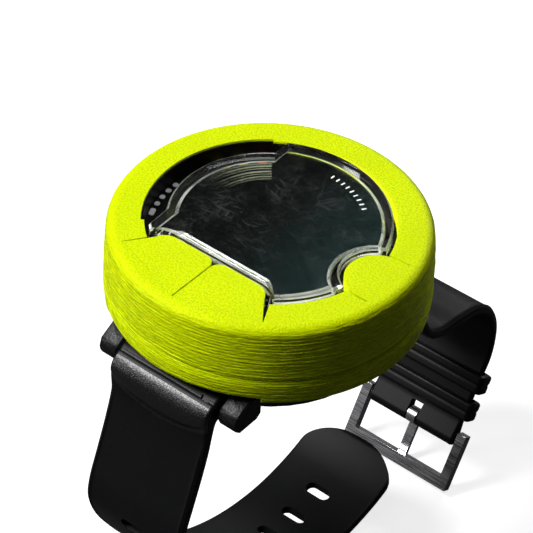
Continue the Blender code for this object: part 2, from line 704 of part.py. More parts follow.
def smooth_path(guides, count=3):
    """A Catmull-Rom path through the guide points, with count steps between two of them."""
    padded = [guides[0]] + list(guides) + [guides[-1]]
    path = []
    for index in range(1, len(padded) - 2):
        before, start, end, after = (Vector(padded[index + shift]) for shift in (-1, 0, 1, 2))
        for step in range(count):
            t = step / count
            path.append(0.5 * (
                2 * start + (end - before) * t + (2 * before - 5 * start + 4 * end - after) * t ** 2
                + (3 * start - 3 * end + after - before) * t ** 3
            ))
    path.append(Vector(guides[-1]))
    return path


def path_lengths(path):
    lengths = [0.0]
    for before, after in zip(path, path[1:]):
        lengths.append(lengths[-1] + (after - before).length)
    return lengths


def path_tangents(path):
    last = len(path) - 1
    return [(path[min(i + 1, last)] - path[max(i - 1, 0)]).normalized() for i in range(len(path))]


def path_at(path, distance):
    """The point and the tangent at a distance along the path."""
    lengths = path_lengths(path)
    for index in range(1, len(path)):
        if lengths[index] >= distance:
            share = (distance - lengths[index - 1]) / (lengths[index] - lengths[index - 1])
            return path[index - 1].lerp(path[index], share), (path[index] - path[index - 1]).normalized()
    return path[-1], (path[-1] - path[-2]).normalized()


def ribbon_outline(path, half_thickness, start_cap, end_cap):
    """The closed side view of a strap of varying thickness, with round ends of the given step counts."""
    lengths = path_lengths(path)
    tangents = path_tangents(path)
    left = []
    right = []
    for point, tangent, length in zip(path, tangents, lengths):
        normal = Vector((-tangent.y, tangent.x)) * half_thickness(length, lengths[-1])
        left.append(point + normal)
        right.append(point - normal)
    end = path[-1]
    start = path[0]
    end_round = turn_about(end, left[-1], -180, end_cap)
    start_round = turn_about(start, right[0], -180, start_cap)
    outline = left + end_round + right[::-1] + start_round
    return [(point.x, point.y) for point in outline]


def turn_about(centre, point, angle, count):
    """The points between a point and its turned place, both left out."""
    arm = point - centre
    points = []
    for index in range(1, count):
        turn = Matrix.Rotation(math.radians(angle * index / count), 2)
        points.append(centre + turn @ arm)
    return points


def lug_bulge(length):
    """How far the strap thickens, each side, towards the roll round its pin."""
    return (LUG_R - STRAP_HALF_T) * max(0.0, 1 - length / LUG_TAPER) ** 1.3


def tail_thickness(length, total):
    return STRAP_HALF_T + lug_bulge(length)


def buckle_thickness(length, total):
    eye = (EYE_R - STRAP_HALF_T) * max(0.0, 1 - (total - length) / 4.5)
    return STRAP_HALF_T + lug_bulge(length) + eye


def build_strap_tail():
    path = smooth_path(TAIL_GUIDES)
    outline = ribbon_outline(path, tail_thickness, 8, 4)
    tail = side_solid("strap_tail_half", outline, STRAP_WIDTH / 2, RUBBER, (-PIN_Y, PIN_Z))
    cut(tail, rod("tail_pin_bore", PIN_BORE_R, STRAP_WIDTH, (0.0, -PIN_Y, PIN_Z)))
    for index in range(SLOT_COUNT):
        point, tangent = path_at(path, SLOT_FIRST + SLOT_PITCH * index)
        tilt = math.atan2(tangent.y, tangent.x)
        cut(tail, block(f"tail_slot_{index}", (*SLOT_SIZE, 8.0), (0.0, point.x, point.y), tilt=tilt))
    return tail


def buckle_pin_place():
    """The buckle pin's (y, z), at the end of the keepers' straight run."""
    return tuple(KEEPER_RUN_START[axis] + KEEPER_RUN * KEEPER_RUN_DIRECTION[axis] for axis in (0, 1))


def build_strap_buckle():
    run = [
        tuple(KEEPER_RUN_START[axis] + share * KEEPER_RUN * KEEPER_RUN_DIRECTION[axis] for axis in (0, 1))
        for share in (0.0, 0.33, 0.66, 1.0)
    ]
    path = smooth_path(BUCKLE_GUIDES + run)
    outline = ribbon_outline(path, buckle_thickness, 8, 8)
    half = side_solid("strap_buckle_half", outline, STRAP_WIDTH / 2, RUBBER, (PIN_Y, PIN_Z))
    cut(half, rod("buckle_lug_bore", PIN_BORE_R, STRAP_WIDTH, (0.0, PIN_Y, PIN_Z)))
    pin = buckle_pin_place()
    tilt = math.atan2(KEEPER_RUN_DIRECTION[1], KEEPER_RUN_DIRECTION[0])
    cut(half, rod("buckle_eye_bore", PIN_BORE_R, STRAP_WIDTH, (0.0, *pin)))
    cut(half, block("prong_slot", (PRONG_SLOT, 8.0, 8.0), (0.0, *pin), tilt=tilt))
    for name, distance in KEEPERS.items():
        spot = tuple(KEEPER_RUN_START[axis] + distance * KEEPER_RUN_DIRECTION[axis] for axis in (0, 1))
        keeper = block(name, KEEPER_SIZE, (0.0, *spot), RUBBER, tilt)
        hole = (KEEPER_HOLE[0], 2 * KEEPER_SIZE[1], KEEPER_HOLE[1])
        cut(keeper, block(f"{name}_hole", hole, (0.0, *spot), tilt=tilt))


def build_buckle():
    pin = buckle_pin_place()
    spot = (0.0, *pin)
    tilt = math.atan2(KEEPER_RUN_DIRECTION[1], KEEPER_RUN_DIRECTION[0])
    middle = BUCKLE_OUTER[1] / 2 - BUCKLE_BACK
    frame = block("buckle_frame", BUCKLE_OUTER, spot, STEEL, tilt, offset=(0.0, middle, 0.0))
    window = block(
        "buckle_window", (BUCKLE_WINDOW[0], BUCKLE_WINDOW[1] + 4.0, 4.0), spot, tilt=tilt,
        offset=(0.0, BUCKLE_WINDOW[1] / 2 - 4.0, 0.0),
    )
    cut(frame, window, rod("frame_bore", PIN_BORE_R, 14.8, spot))
    rod("buckle_pin", PIN_R, 14.5, spot, STEEL)
    prong = rod("buckle_prong", EYE_R, 1.3, spot, STEEL)
    reach = BUCKLE_OUTER[1] - BUCKLE_BACK
    bar = block("prong_bar", (2.4, reach, 1.2), spot, tilt=tilt, offset=(0.0, reach / 2 - 0.4, 2.2))
    join(prong, bar)
    cut(prong, rod("prong_bore", PIN_BORE_R, 3.0, spot))


def build_pins():
    for name, end in (("strap_pin_tail", -1), ("strap_pin_buckle", 1)):
        rod(name, PIN_R, PIN_HALF, (0.0, end * PIN_Y, PIN_Z), STEEL)


build_boot()
build_pads()
build_shield()
build_window()
build_dial_ring()
build_case()
build_case_back()
build_battery_lid()
build_lock_ring()
build_battery()
build_case_screws()
build_electronics()
for button_name, button_spot in BUTTONS.items():
    build_button(button_name, button_spot)
build_strap_tail()
build_strap_buckle()
build_buckle()
build_pins()
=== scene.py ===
"""Looks of the wrist dive computer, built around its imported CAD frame.

Shapes are made in millimetres and scaled to metres when a mesh is finished. The row frame is the CAD one:
the origin is on the case back, +Z leaves through the display, +Y points to 12 o'clock, +X to 3 o'clock.
"""

import json
import math
import random

import bmesh
import bpy
import numpy as np
from mathutils import Matrix, Vector


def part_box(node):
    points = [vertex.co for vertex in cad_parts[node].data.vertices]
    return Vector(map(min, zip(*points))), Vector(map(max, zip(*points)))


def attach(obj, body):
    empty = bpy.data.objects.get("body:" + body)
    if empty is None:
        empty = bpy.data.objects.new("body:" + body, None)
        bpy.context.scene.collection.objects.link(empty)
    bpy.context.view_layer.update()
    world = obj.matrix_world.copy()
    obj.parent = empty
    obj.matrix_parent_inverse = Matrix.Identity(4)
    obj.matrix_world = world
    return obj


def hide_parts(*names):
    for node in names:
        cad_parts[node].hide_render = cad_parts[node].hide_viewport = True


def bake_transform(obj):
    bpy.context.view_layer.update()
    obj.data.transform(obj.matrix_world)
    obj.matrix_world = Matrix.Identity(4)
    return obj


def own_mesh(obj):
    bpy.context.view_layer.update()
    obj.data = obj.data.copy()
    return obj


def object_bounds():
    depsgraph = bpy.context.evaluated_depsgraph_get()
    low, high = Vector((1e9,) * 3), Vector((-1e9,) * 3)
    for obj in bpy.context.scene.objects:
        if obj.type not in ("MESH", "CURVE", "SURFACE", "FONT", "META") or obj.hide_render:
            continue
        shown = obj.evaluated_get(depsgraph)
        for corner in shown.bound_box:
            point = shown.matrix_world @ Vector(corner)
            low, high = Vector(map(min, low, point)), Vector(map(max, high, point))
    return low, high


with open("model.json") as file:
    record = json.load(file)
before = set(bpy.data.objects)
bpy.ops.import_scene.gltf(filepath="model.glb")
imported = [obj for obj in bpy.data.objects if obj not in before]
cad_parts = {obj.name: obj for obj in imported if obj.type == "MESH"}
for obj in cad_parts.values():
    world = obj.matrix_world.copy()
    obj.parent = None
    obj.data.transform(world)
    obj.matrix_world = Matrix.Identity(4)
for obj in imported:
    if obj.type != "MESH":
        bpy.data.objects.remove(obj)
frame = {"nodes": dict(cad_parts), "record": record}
CAD_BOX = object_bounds()

MM = 0.001
SEED = 7

# The boot, its pads and the shield, in millimetres from the frame
BOOT_LOW, BOOT_HIGH = (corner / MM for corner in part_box("boot"))
SHIELD_LOW, SHIELD_HIGH = (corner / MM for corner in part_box("display_shield"))
DIAL_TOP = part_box("dial_ring")[1].z / MM
WINDOW_LOW, WINDOW_HIGH = (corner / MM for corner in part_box("display_window"))
PAD_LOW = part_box("boot_pad_side")[0].z / MM
TOP = BOOT_HIGH.z
BAND_R = BOOT_HIGH.x
TOP_R = BAND_R - 0.75
CREASE_R = BAND_R - 0.25
INNER_R = 30.5
OPEN_R = 25.7
RECESS_R = 26.4
CREASE_Z = 15.5
LIP_BOTTOM = PAD_LOW
EDGE_ROUND = 2.2
WALL_BULGE = 0.12
WAVE_COUNT = 26
WAVE_HEIGHT = 0.021
LUG_EDGE = 10.4
LUG_HALF_ANGLE = 36.5
RECESS_CLOCK = (-131.5, -37.5)
SLIT = 0.34
SOFT_EDGE = 0.42
FLAT_FACE = 0.9999

LOWER_ROOT = 29.3
LOWER_MID = 162.0
LOWER_EDGE = 144.0
LOWER_INNER = -17.1
LOWER_SHOULDER = 10.4
LOWER_CORNER = 2.3
SIDE_CENTRE = (27.2, 0.0)
SIDE_R = 6.9
SIDE_ROOT = 29.6
NOTCH_R = 7.8
PAD_SLICES = 15
PAD_SLICE = 0.6
PAD_BEND = 2.5

SHIELD_R = SHIELD_HIGH.y
SHIELD_CHORD = -16.8
SHIELD_CORNER = (10.5, 14.3)
SHIELD_CORNER_ANGLE = -50.0
SHIELD_RECESS_R = 21.3
SHIELD_RECESS = (120.5, 126.5, 214.5, 226.5)
SHIELD_SKIRT = 1.6
SHIELD_ROOF = WINDOW_HIGH.z + 0.3
SHIELD_CHAMFER = 0.48

# Painted reflection arcs as (radius, width), white marks as (clock angle, length); the rest are clock angles
# and radii
REFLECTION_ARCS = ((18.7, 0.2), (18.0, 0.4), (17.1, 0.16), (16.2, 0.34), (15.3, 0.14), (14.5, 0.26), (13.7, 0.12))
REFLECTION_CLOCK = (-96, -38.5)
WHITE_MARKS = ((-113.5, 2.2), (-107.0, 1.25), (-101.5, 1.25), (-96.0, 1.25), (-90.5, 1.25))
WHITE_MARK_R = 25.25
YELLOW_MARKS = (-63.0, -53.0)
RED_MARK = -43.0
COLOUR_MARK_R = 25.0
TICK_R = 19.6
TICK_COUNT = 9
TICK_FIRST = 2.0
TICK_PITCH = 4.4
TICK_SIZE = (1.05, 0.26)
LAID_ON = 0.02
# Gap and thickness of the black sheet of painted shade inside the boot's opening
SHADE_SHEET_GAP = 0.06
SHADE_SHEET_WALL = 0.3

# The strap
PIN_Y_ABS = (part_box("strap_pin_buckle")[0].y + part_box("strap_pin_buckle")[1].y) / 2 / MM
PIN_Z = (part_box("strap_pin_buckle")[0].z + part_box("strap_pin_buckle")[1].z) / 2 / MM
STRAP_HALF_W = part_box("strap_tail_half")[1].x / MM
STRAP_HALF_T = 1.1
LUG_R = 2.8
LUG_TAPER = 9.0
PIN_BORE_R = 1.05
EDGE_R = 0.75
BEAD_PLACE = 0.93
BEAD_HEIGHT = 0.22
ROLL_START = 0.9
ROLL_REACH = (3.2, 3.6)
ROLL_HEIGHTS = {-1: 0.72, 1: 0.3}
TIP_LENGTH = 9.0
SPRING_R = 2.0
SPRING_WIRE = 0.17
SPRING_TURNS = 2.25
KEEPERS = {"strap_keeper_upper": 7.5, "strap_keeper_lower": 15.0}
KEEPER_SIZE = (29.4, 5.4)
KEEPER_DEPTH = 5.0
KEEPER_HOLE = (26.8, 3.4)
KEEPER_ROUND = 0.7
KEEPER_GROOVE = 0.16
KEEPER_RINGS = 24


def quick_steps(fine):
    return fine


# ---------------- outlines


def polar(radius, angle):
    return (radius * math.cos(math.radians(angle)), radius * math.sin(math.radians(angle)))


def clock(radius, angle):
    """A point at a clock angle, in degrees clockwise from 12 o'clock."""
    return polar(radius, 90 - angle)


def arc(centre, radius, start, end, count):
    points = []
    for index in range(count + 1):
        x, y = polar(radius, start + (end - start) * index / count)
        points.append((centre[0] + x, centre[1] + y))
    return points


def bend(start, control, end, count):
    """Points on a quadratic curve, without its last point."""
    points = []
    for index in range(count):
        t = index / count
        weights = ((1 - t) ** 2, 2 * t * (1 - t), t * t)
        x = weights[0] * start[0] + weights[1] * control[0] + weights[2] * end[0]
        y = weights[0] * start[1] + weights[1] * control[1] + weights[2] * end[1]
        points.append((x, y))
    return points


def sector(inner, outer, start, end, count):
    """A slice of a ring between two clock angles."""
    points = [clock(outer, start + (end - start) * index / count) for index in range(count + 1)]
    return points + [clock(inner, end + (start - end) * index / count) for index in range(count + 1)]


def rounded_box(width, height, corner, count=6):
    """A rectangle with round corners, centred, counter-clockwise."""
    x, y = width / 2 - corner, height / 2 - corner
    points = []
    for index, (side_x, side_y) in enumerate(((1, 1), (-1, 1), (-1, -1), (1, -1))):
        points += arc((side_x * x, side_y * y), corner, 90 * index, 90 * index + 90, count)
    return points


def shield_outline(inset):
    """The shield's outline, or one inside it: a disc with a chord at 6 o'clock, a round notch at
    3 o'clock and a recess along the 9 o'clock side."""
    radius = SHIELD_R - inset
    chord = SHIELD_CHORD + inset
    notch = NOTCH_R + inset
    recess = SHIELD_RECESS_R - inset
    reach = SIDE_CENTRE[0]
    spread = math.degrees(math.acos((radius ** 2 + reach ** 2 - notch ** 2) / (2 * radius * reach)))
    low = polar(radius, -spread)
    notch_angle = math.degrees(math.atan2(low[1], low[0] - reach)) % 360
    corner = polar(radius, SHIELD_CORNER_ANGLE)
    start = (SHIELD_CORNER[0], chord)
    control = (SHIELD_CORNER[1] - inset, chord)
    points = bend(start, control, corner, 10)
    points += arc((0, 0), radius, SHIELD_CORNER_ANGLE, -spread, 20)
    points += arc(SIDE_CENTRE, notch, notch_angle, 360 - notch_angle, 40)[1:-1]
    points += arc((0, 0), radius, spread, SHIELD_RECESS[0], 70)
    points += arc((0, 0), recess, SHIELD_RECESS[1], SHIELD_RECESS[2], 60)
    points.append(polar(radius, SHIELD_RECESS[3]))
    mirrored = [(-x, y) for x, y in bend(start, control, corner, 10)]
    return points + [(-corner[0], corner[1])] + mirrored[::-1]


def lower_pad_outline(side, gap):
    """One pad at 6 o'clock, side +1 for the right one; its root line is the first and last point."""
    half = gap / 2
    out = clock(1.0, LOWER_MID)
    edge = clock(1.0, LOWER_EDGE)
    inward = (edge[1] * half, -edge[0] * half)
    root_y = (LOWER_ROOT - out[0] * half) / out[1]
    corner = (half + LOWER_CORNER, LOWER_INNER - LOWER_CORNER)
    shoulder_end = (edge[0] * 24.2 + inward[0], edge[1] * 24.2 + inward[1])
    root_r = LOWER_ROOT / math.cos(math.radians(LOWER_MID - LOWER_EDGE))
    points = [(half, root_y)]
    points += arc(corner, LOWER_CORNER, 180, 90, 10)
    points += bend((LOWER_SHOULDER, LOWER_INNER), (13.0, LOWER_INNER), shoulder_end, 10)
    points.append(shoulder_end)
    points.append((edge[0] * root_r + inward[0], edge[1] * root_r + inward[1]))
    return [(side * x, y) for x, y in points]


def lower_pad_room(side):
    """The space in the boot for one lower pad; the right one opens as a V towards the display."""
    out = clock(1.0, LOWER_MID)
    open_angle = LOWER_EDGE - (3.0 if side > 0 else 0.35)
    root_r = LOWER_ROOT / math.cos(math.radians(LOWER_MID - LOWER_EDGE))
    points = [(-0.05, LOWER_ROOT / out[1]), (-0.05, -14.0), (13.0, -14.0)]
    points += [clock(24.0, open_angle), clock(root_r, LOWER_EDGE)]
    return [(side * x, y) for x, y in points]


def side_pad_outline(radius):
    points = [(SIDE_ROOT, -radius)] + arc(SIDE_CENTRE, radius, -90, -270, 36)
    return points + [(SIDE_ROOT, radius)]


# ---------------- meshes


def linked_object(shape, name):
    bmesh.ops.recalc_face_normals(shape, faces=shape.faces)
    mesh = bpy.data.meshes.new(name)
    shape.to_mesh(mesh)
    shape.free()
    obj = bpy.data.objects.new(name, mesh)
    bpy.context.scene.collection.objects.link(obj)
    return obj


def finish_mesh(name, shape, materials, angle=40.0):
    """A piece from a bmesh in millimetres, shaded smooth apart from its sharp edges."""
    piece = linked_object(shape, name)
    mesh = piece.data
    mesh.transform(Matrix.Scale(MM, 4))
    for material in materials:
        mesh.materials.append(material)
    mesh.shade_smooth()
    mesh.set_sharp_from_angle(angle=math.radians(angle))
    for face in mesh.polygons:
        face.use_smooth = abs(face.normal.z) < FLAT_FACE
    return piece


def hand_over(piece, body, replaced=None):
    """Puts a piece on its body, in place of a CAD node if it stands for one."""
    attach(piece, body)
    if replaced is not None:
        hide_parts(replaced)


def bridge(shape, here, there):
    """Quads between two closed rings of equal length."""
    count = len(here)
    for index in range(count):
        after = (index + 1) % count
        shape.faces.new((here[index], here[after], there[after], there[index]))


def prism(outline, low, high):
    """A closed solid with a flat outline between two heights."""
    shape = bmesh.new()
    floor = [shape.verts.new((x, y, low)) for x, y in outline]
    roof = [shape.verts.new((x, y, high)) for x, y in outline]
    shape.faces.new(floor[::-1])
    shape.faces.new(roof)
    bridge(shape, floor, roof)
    return shape


def revolved(profile, steps):
    """A closed profile of (radius, height) points turned about Z."""
    shape = bmesh.new()
    rings = []
    for step in range(steps):
        angle = 2 * math.pi * step / steps
        rings.append([shape.verts.new((r * math.cos(angle), r * math.sin(angle), z)) for r, z in profile])
    for step in range(steps):
        here, there = rings[step], rings[(step + 1) % steps]
        for index in range(len(profile)):
            after = (index + 1) % len(profile)
            shape.faces.new((here[index], there[index], there[after], here[after]))
    bmesh.ops.recalc_face_normals(shape, faces=shape.faces)
    return shape


def cut_shape(shape, cutters):
    """The bmesh with the cutter bmeshes taken away; everything stays in millimetres."""
    body = linked_object(shape, "body")
    tools = [linked_object(cutter, "cutter") for cutter in cutters]
    for tool in tools:
        boolean = body.modifiers.new("cut", "BOOLEAN")
        boolean.operation = "DIFFERENCE"
        boolean.solver = "EXACT"
        boolean.object = tool
    bpy.context.view_layer.update()
    graph = bpy.context.evaluated_depsgraph_get()
    result = bmesh.new()
    result.from_mesh(body.evaluated_get(graph).to_mesh())
    for obj in [body] + tools:
        mesh = obj.data
        bpy.data.objects.remove(obj, do_unlink=True)
        bpy.data.meshes.remove(mesh)
    bmesh.ops.remove_doubles(result, verts=result.verts, dist=0.0005)
    return result


def soften(shape, chosen, width, segments=3):
    edges = [edge for edge in shape.edges if edge.is_manifold and chosen(edge)]
    bmesh.ops.bevel(
        shape, geom=edges, offset=width, segments=segments, profile=0.5, affect="EDGES", clamp_overlap=True
    )


def smoothstep(low, high, value):
    t = np.clip((value - low) / (high - low), 0.0, 1.0)
    return t * t * (3 - 2 * t)


# ---------------- materials


class Nodes:
    """A short way to write a material's node tree."""

    def __init__(self, name):
        self.material = bpy.data.materials.new(name)
        self.material.use_nodes = True
        self.tree = self.material.node_tree
        self.shader = self.tree.nodes["Principled BSDF"]
        self.output = self.tree.nodes["Material Output"]
        self.place = self.add("ShaderNodeTexCoord").outputs["Object"]

    def add(self, kind, **settings):
        node = self.tree.nodes.new(kind)
        for key, value in settings.items():
            setattr(node, key, value)
        return node

    def feed(self, socket, value):
        if isinstance(value, bpy.types.NodeSocket):
            self.tree.links.new(value, socket)
        elif isinstance(value, (int, float)) and socket.type == "RGBA":
            socket.default_value = (value, value, value, 1.0)
        elif isinstance(value, tuple) and len(value) == 3 and socket.type == "RGBA":
            socket.default_value = (*value, 1.0)
        else:
            socket.default_value = value

    def set(self, **values):
        for key, value in values.items():
            self.feed(self.shader.inputs[key.replace("_", " ")], value)

    def math(self, operation, first, second=0.0):
        node = self.add("ShaderNodeMath", operation=operation)
        self.feed(node.inputs[0], first)
        self.feed(node.inputs[1], second)
        return node.outputs[0]

    def ramp(self, value, low, high, to_low=0.0, to_high=1.0):
        node = self.add("ShaderNodeMapRange", interpolation_type="SMOOTHSTEP")
        self.feed(node.inputs["Value"], value)
        for key, number in (("From Min", low), ("From Max", high), ("To Min", to_low), ("To Max", to_high)):
            self.feed(node.inputs[key], number)
        return node.outputs["Result"]

    def noise(self, scale, detail=2.0, stretch=(1.0, 1.0, 1.0), rough=0.5):
        """Noise with a scale in features per millimetre, and a stretch of its axes."""
        mapping = self.add("ShaderNodeMapping")
        self.feed(mapping.inputs["Vector"], self.place)
        mapping.inputs["Scale"].default_value = tuple(scale / MM * part for part in stretch)
        node = self.add("ShaderNodeTexNoise")
        self.feed(node.inputs["Vector"], mapping.outputs[0])
        node.inputs["Scale"].default_value = 1.0
        node.inputs["Detail"].default_value = detail
        node.inputs["Roughness"].default_value = rough
        return node.outputs["Fac"]

    def mix(self, factor, first, second):
        node = self.add("ShaderNodeMix", data_type="RGBA")
        self.feed(node.inputs[0], factor)
        self.feed(node.inputs[6], first)
        self.feed(node.inputs[7], second)
        return node.outputs[2]

    def bump(self, height, depth, strength=1.0, below=None):
        """A bump whose height of 1 stands for a depth in millimetres."""
        node = self.add("ShaderNodeBump")
        node.inputs["Strength"].default_value = strength
        node.inputs["Distance"].default_value = depth * MM
        self.feed(node.inputs["Height"], height)
        if below is not None:
            self.feed(node.inputs["Normal"], below)
        return node.outputs[0]

    def mix_shader(self, factor, first, second):
        node = self.add("ShaderNodeMixShader")
        for index, value in enumerate((factor, first, second)):
            self.feed(node.inputs[index], value)
        return node.outputs[0]

    def plain_shader(self, kind, colour):
        node = self.add(kind)
        self.feed(node.inputs["Color"], colour)
        return node.outputs[0]

    def show(self, surface):
        self.feed(self.output.inputs["Surface"], surface)

    def facing_up(self):
        geometry = self.add("ShaderNodeNewGeometry")
        split = self.add("ShaderNodeSeparateXYZ")
        self.feed(split.inputs[0], geometry.outputs["True Normal"])
        return split.outputs["Z"]


def lime_material():
    """Printed soft elastomer: sandy on flat tops, in wavy layers on its sides."""
    n = Nodes("lime_elastomer")
    up = n.ramp(n.facing_up(), 0.45, 0.85)
    grain = n.noise(2.5, 2.0)
    layers = n.noise(1.0, 3.0, (0.42, 0.42, 3.2))
    glints = n.noise(1.0, 2.0, (1.0, 1.0, 3.6))
    patches = n.noise(0.05, 2.0)
    wavy = n.math("ADD", layers, n.math("MULTIPLY", glints, 0.5))
    height = n.mix(up, wavy, n.math("MULTIPLY", grain, 0.8))
    normal = n.bump(height, 0.24, 1.0)
    body = n.mix(n.ramp(patches, 0.3, 0.7), (0.68, 0.84, 0.0), (0.74, 0.91, 0.0))
    # The colour darkens where the layers and the grain are low: painted shade in their grooves and pits, on
    # top of the bump's own shading.
    groove_shaded = n.mix(n.ramp(layers, 0.34, 0.6), (0.56, 0.69, 0.0), body)
    pit_shaded = n.mix(n.ramp(grain, 0.34, 0.6), (0.54, 0.68, 0.0), body)
    n.set(
        Base_Color=n.mix(up, groove_shaded, pit_shaded),
        Roughness=n.mix(up, n.ramp(glints, 0.35, 0.65, 0.20, 0.5), 0.55),
        Subsurface_Weight=0.22,
        Subsurface_Scale=1.2 * MM,
        Normal=normal,
    )
    n.shader.inputs["Subsurface Radius"].default_value = (1.0, 0.45, 0.05)
    n.shader.inputs["Specular IOR Level"].default_value = 0.36
    n.shader.inputs["Specular Tint"].default_value = (1.0, 1.0, 0.12, 1.0)
    return n.material


def hairlines(n):
    """A mask of thin straight scratches in several directions, gathered in patches."""
    lines = None
    for turn, fineness in ((9, 9.0), (61, 11.0), (104, 12.0), (163, 10.0)):
        mapping = n.add("ShaderNodeMapping", vector_type="TEXTURE")
        mapping.inputs["Rotation"].default_value[2] = math.radians(turn)
        n.feed(mapping.inputs["Vector"], n.place)
        stretch = n.add("ShaderNodeMapping")
        stretch.inputs["Scale"].default_value = (0.2 / MM, fineness / MM, 0.3 / MM)
        n.feed(stretch.inputs["Vector"], mapping.outputs[0])
        texture = n.add("ShaderNodeTexNoise")
        n.feed(texture.inputs["Vector"], stretch.outputs[0])
        for key, number in (("Scale", 1.0), ("Detail", 0.0), ("Distortion", 0.08)):
            texture.inputs[key].default_value = number
        line = n.ramp(texture.outputs["Fac"], 0.755, 0.785)
        lines = line if lines is None else n.math("MAXIMUM", lines, line)
    return n.math("MULTIPLY", lines, n.ramp(n.noise(0.14, 2.0), 0.42, 0.66))


def clear_material(name, tint, scratches):
    """Clear moulded plastic with hairline scratches. Light passes it to what lies underneath."""
    n = Nodes(name)
    mask = n.math("MULTIPLY", hairlines(n), scratches)
    n.set(
        Base_Color=tint,
        Roughness=n.math("ADD", n.math("MULTIPLY", mask, 0.08), 0.02),
        IOR=1.49,
        Transmission_Weight=1.0,
        Normal=n.bump(n.noise(0.05, 1.0), 0.015, 0.3),
    )
    haze = n.plain_shader("ShaderNodeBsdfDiffuse", (0.75, 0.78, 0.8))
    scratched = n.mix_shader(n.math("MULTIPLY", mask, 0.1), n.shader.outputs[0], haze)
    path = n.add("ShaderNodeLightPath")
    clear = n.plain_shader("ShaderNodeBsdfTransparent", tint)
    n.show(n.mix_shader(path.outputs["Is Shadow Ray"], scratched, clear))
    return n.material


def painted_reflection_material():
    """A painted reflection on the arcs under the shield: a pale grey, strongest near 11 o'clock and gone at
    9 o'clock.
    """
    n = Nodes("step_painted_reflection")
    split = n.add("ShaderNodeSeparateXYZ")
    n.feed(split.inputs[0], n.place)
    fade = n.ramp(n.math("ADD", split.outputs["X"], split.outputs["Y"]), -17 * MM, 3 * MM, 0.0, 0.42)
    strength = n.math("MULTIPLY", fade, n.ramp(n.noise(0.5, 2.0), 0.25, 0.6, 0.35, 1.0))
    n.set(Base_Color=(0.34, 0.36, 0.26), Roughness=0.35)
    clear = n.plain_shader("ShaderNodeBsdfTransparent", (1.0, 1.0, 1.0))
    n.show(n.mix_shader(strength, clear, n.shader.outputs[0]))
    return n.material


def edge_highlight_material():
    """The shield's chamfer: clear, mixed with a diffuse white that paints on the pale highlight of a moulded
    edge that gathers light.
    """
    n = Nodes("shield_edge_painted_highlight")
    n.set(
        Base_Color=(0.95, 0.97, 0.93),
        Roughness=n.ramp(n.noise(0.7, 2.0), 0.3, 0.7, 0.06, 0.2),
        IOR=1.49,
        Transmission_Weight=1.0,
        Normal=n.bump(n.noise(0.3, 1.0), 0.01, 0.4),
    )
    # Painted highlight: a diffuse pale white mixed into the chamfer in noisy patches.
    painted_edge_light = n.plain_shader("ShaderNodeBsdfDiffuse", (0.86, 0.90, 0.84))
    share = n.ramp(n.noise(0.12, 2.0), 0.35, 0.65, 0.12, 0.4)
    n.show(n.mix_shader(share, n.shader.outputs[0], painted_edge_light))
    return n.material


def moulded_material(name, colour, roughness, grain, depth, shine=0.5):
    """Moulded or cast stuff: a grain of a size in features per millimetre, and slow colour changes."""
    n = Nodes(name)
    fine = n.noise(grain, 3.0)
    slow = n.ramp(n.noise(0.08, 2.0), 0.3, 0.7)
    light = tuple(min(1.0, part * 1.35 + 0.001) for part in colour)
    n.set(
        Base_Color=n.mix(n.math("MULTIPLY", slow, n.ramp(fine, 0.4, 0.7)), colour, light),
        Roughness=n.ramp(fine, 0.3, 0.7, max(roughness - 0.08, 0.02), roughness + 0.08),
        Normal=n.bump(fine, depth, 0.8),
    )
    n.shader.inputs["Specular IOR Level"].default_value = shine
    return n.material


def brushed_material(name, colour, roughness):
    n = Nodes(name)
    lines = n.noise(1.0, 3.0, (0.12, 6.0, 6.0))
    n.set(
        Base_Color=n.mix(n.ramp(lines, 0.3, 0.7), colour, tuple(part * 0.82 for part in colour)),
        Roughness=n.ramp(lines, 0.3, 0.7, roughness - 0.07, roughness + 0.1),
        Metallic=1.0,
        Normal=n.bump(lines, 0.012, 0.6),
    )
    return n.material


def display_sheen_material():
    """The display behind its window: near black, with a painted cold sheen that grows towards +X."""
    n = Nodes("display_black_painted_sheen")
    split = n.add("ShaderNodeSeparateXYZ")
    n.feed(split.inputs[0], n.place)
    # Painted sheen: the colour turns cold and lighter towards +X.
    side = n.ramp(split.outputs["X"], -6 * MM, 20 * MM)
    n.set(
        Base_Color=n.mix(side, (0.0016, 0.0019, 0.0018), (0.005, 0.011, 0.0115)),
        Roughness=n.ramp(n.noise(0.3, 3.0), 0.3, 0.7, 0.10, 0.18),
        Normal=n.bump(n.noise(0.06, 1.0), 0.03, 0.3),
    )
    return n.material


LIME = lime_material()
SHIELD_CLEAR = clear_material("shield_clear", (0.97, 0.98, 0.95), 1.0)
WINDOW_CLEAR = clear_material("window_crystal", (0.90, 0.95, 0.96), 0.4)
SHIELD_EDGE_HIGHLIGHT = edge_highlight_material()
# A painted reflection for the arcs under the shield.
PAINTED_REFLECTION = painted_reflection_material()
CASE_BLACK = moulded_material("case_black", (0.003, 0.003, 0.003), 0.44, 2.0, 0.12, 0.3)
RUBBER = moulded_material("strap_rubber", (0.0028, 0.0029, 0.0034), 0.44, 6.0, 0.012, 0.22)
ROLL_RUBBER = moulded_material("strap_roll", (0.0026, 0.0026, 0.0024), 0.33, 3.0, 0.07, 0.6)
DIAL_BLACK = moulded_material("dial_black", (0.0014, 0.0014, 0.0016), 0.42, 5.0, 0.01, 0.2)
DISPLAY_PAINTED_SHEEN = display_sheen_material()
MARK_WHITE = moulded_material("mark_white", (0.78, 0.79, 0.80), 0.5, 3.0, 0.02)
MARK_YELLOW = moulded_material("mark_yellow", (0.80, 0.66, 0.06), 0.5, 3.0, 0.02)
MARK_RED = moulded_material("mark_red", (0.75, 0.12, 0.03), 0.5, 3.0, 0.02)
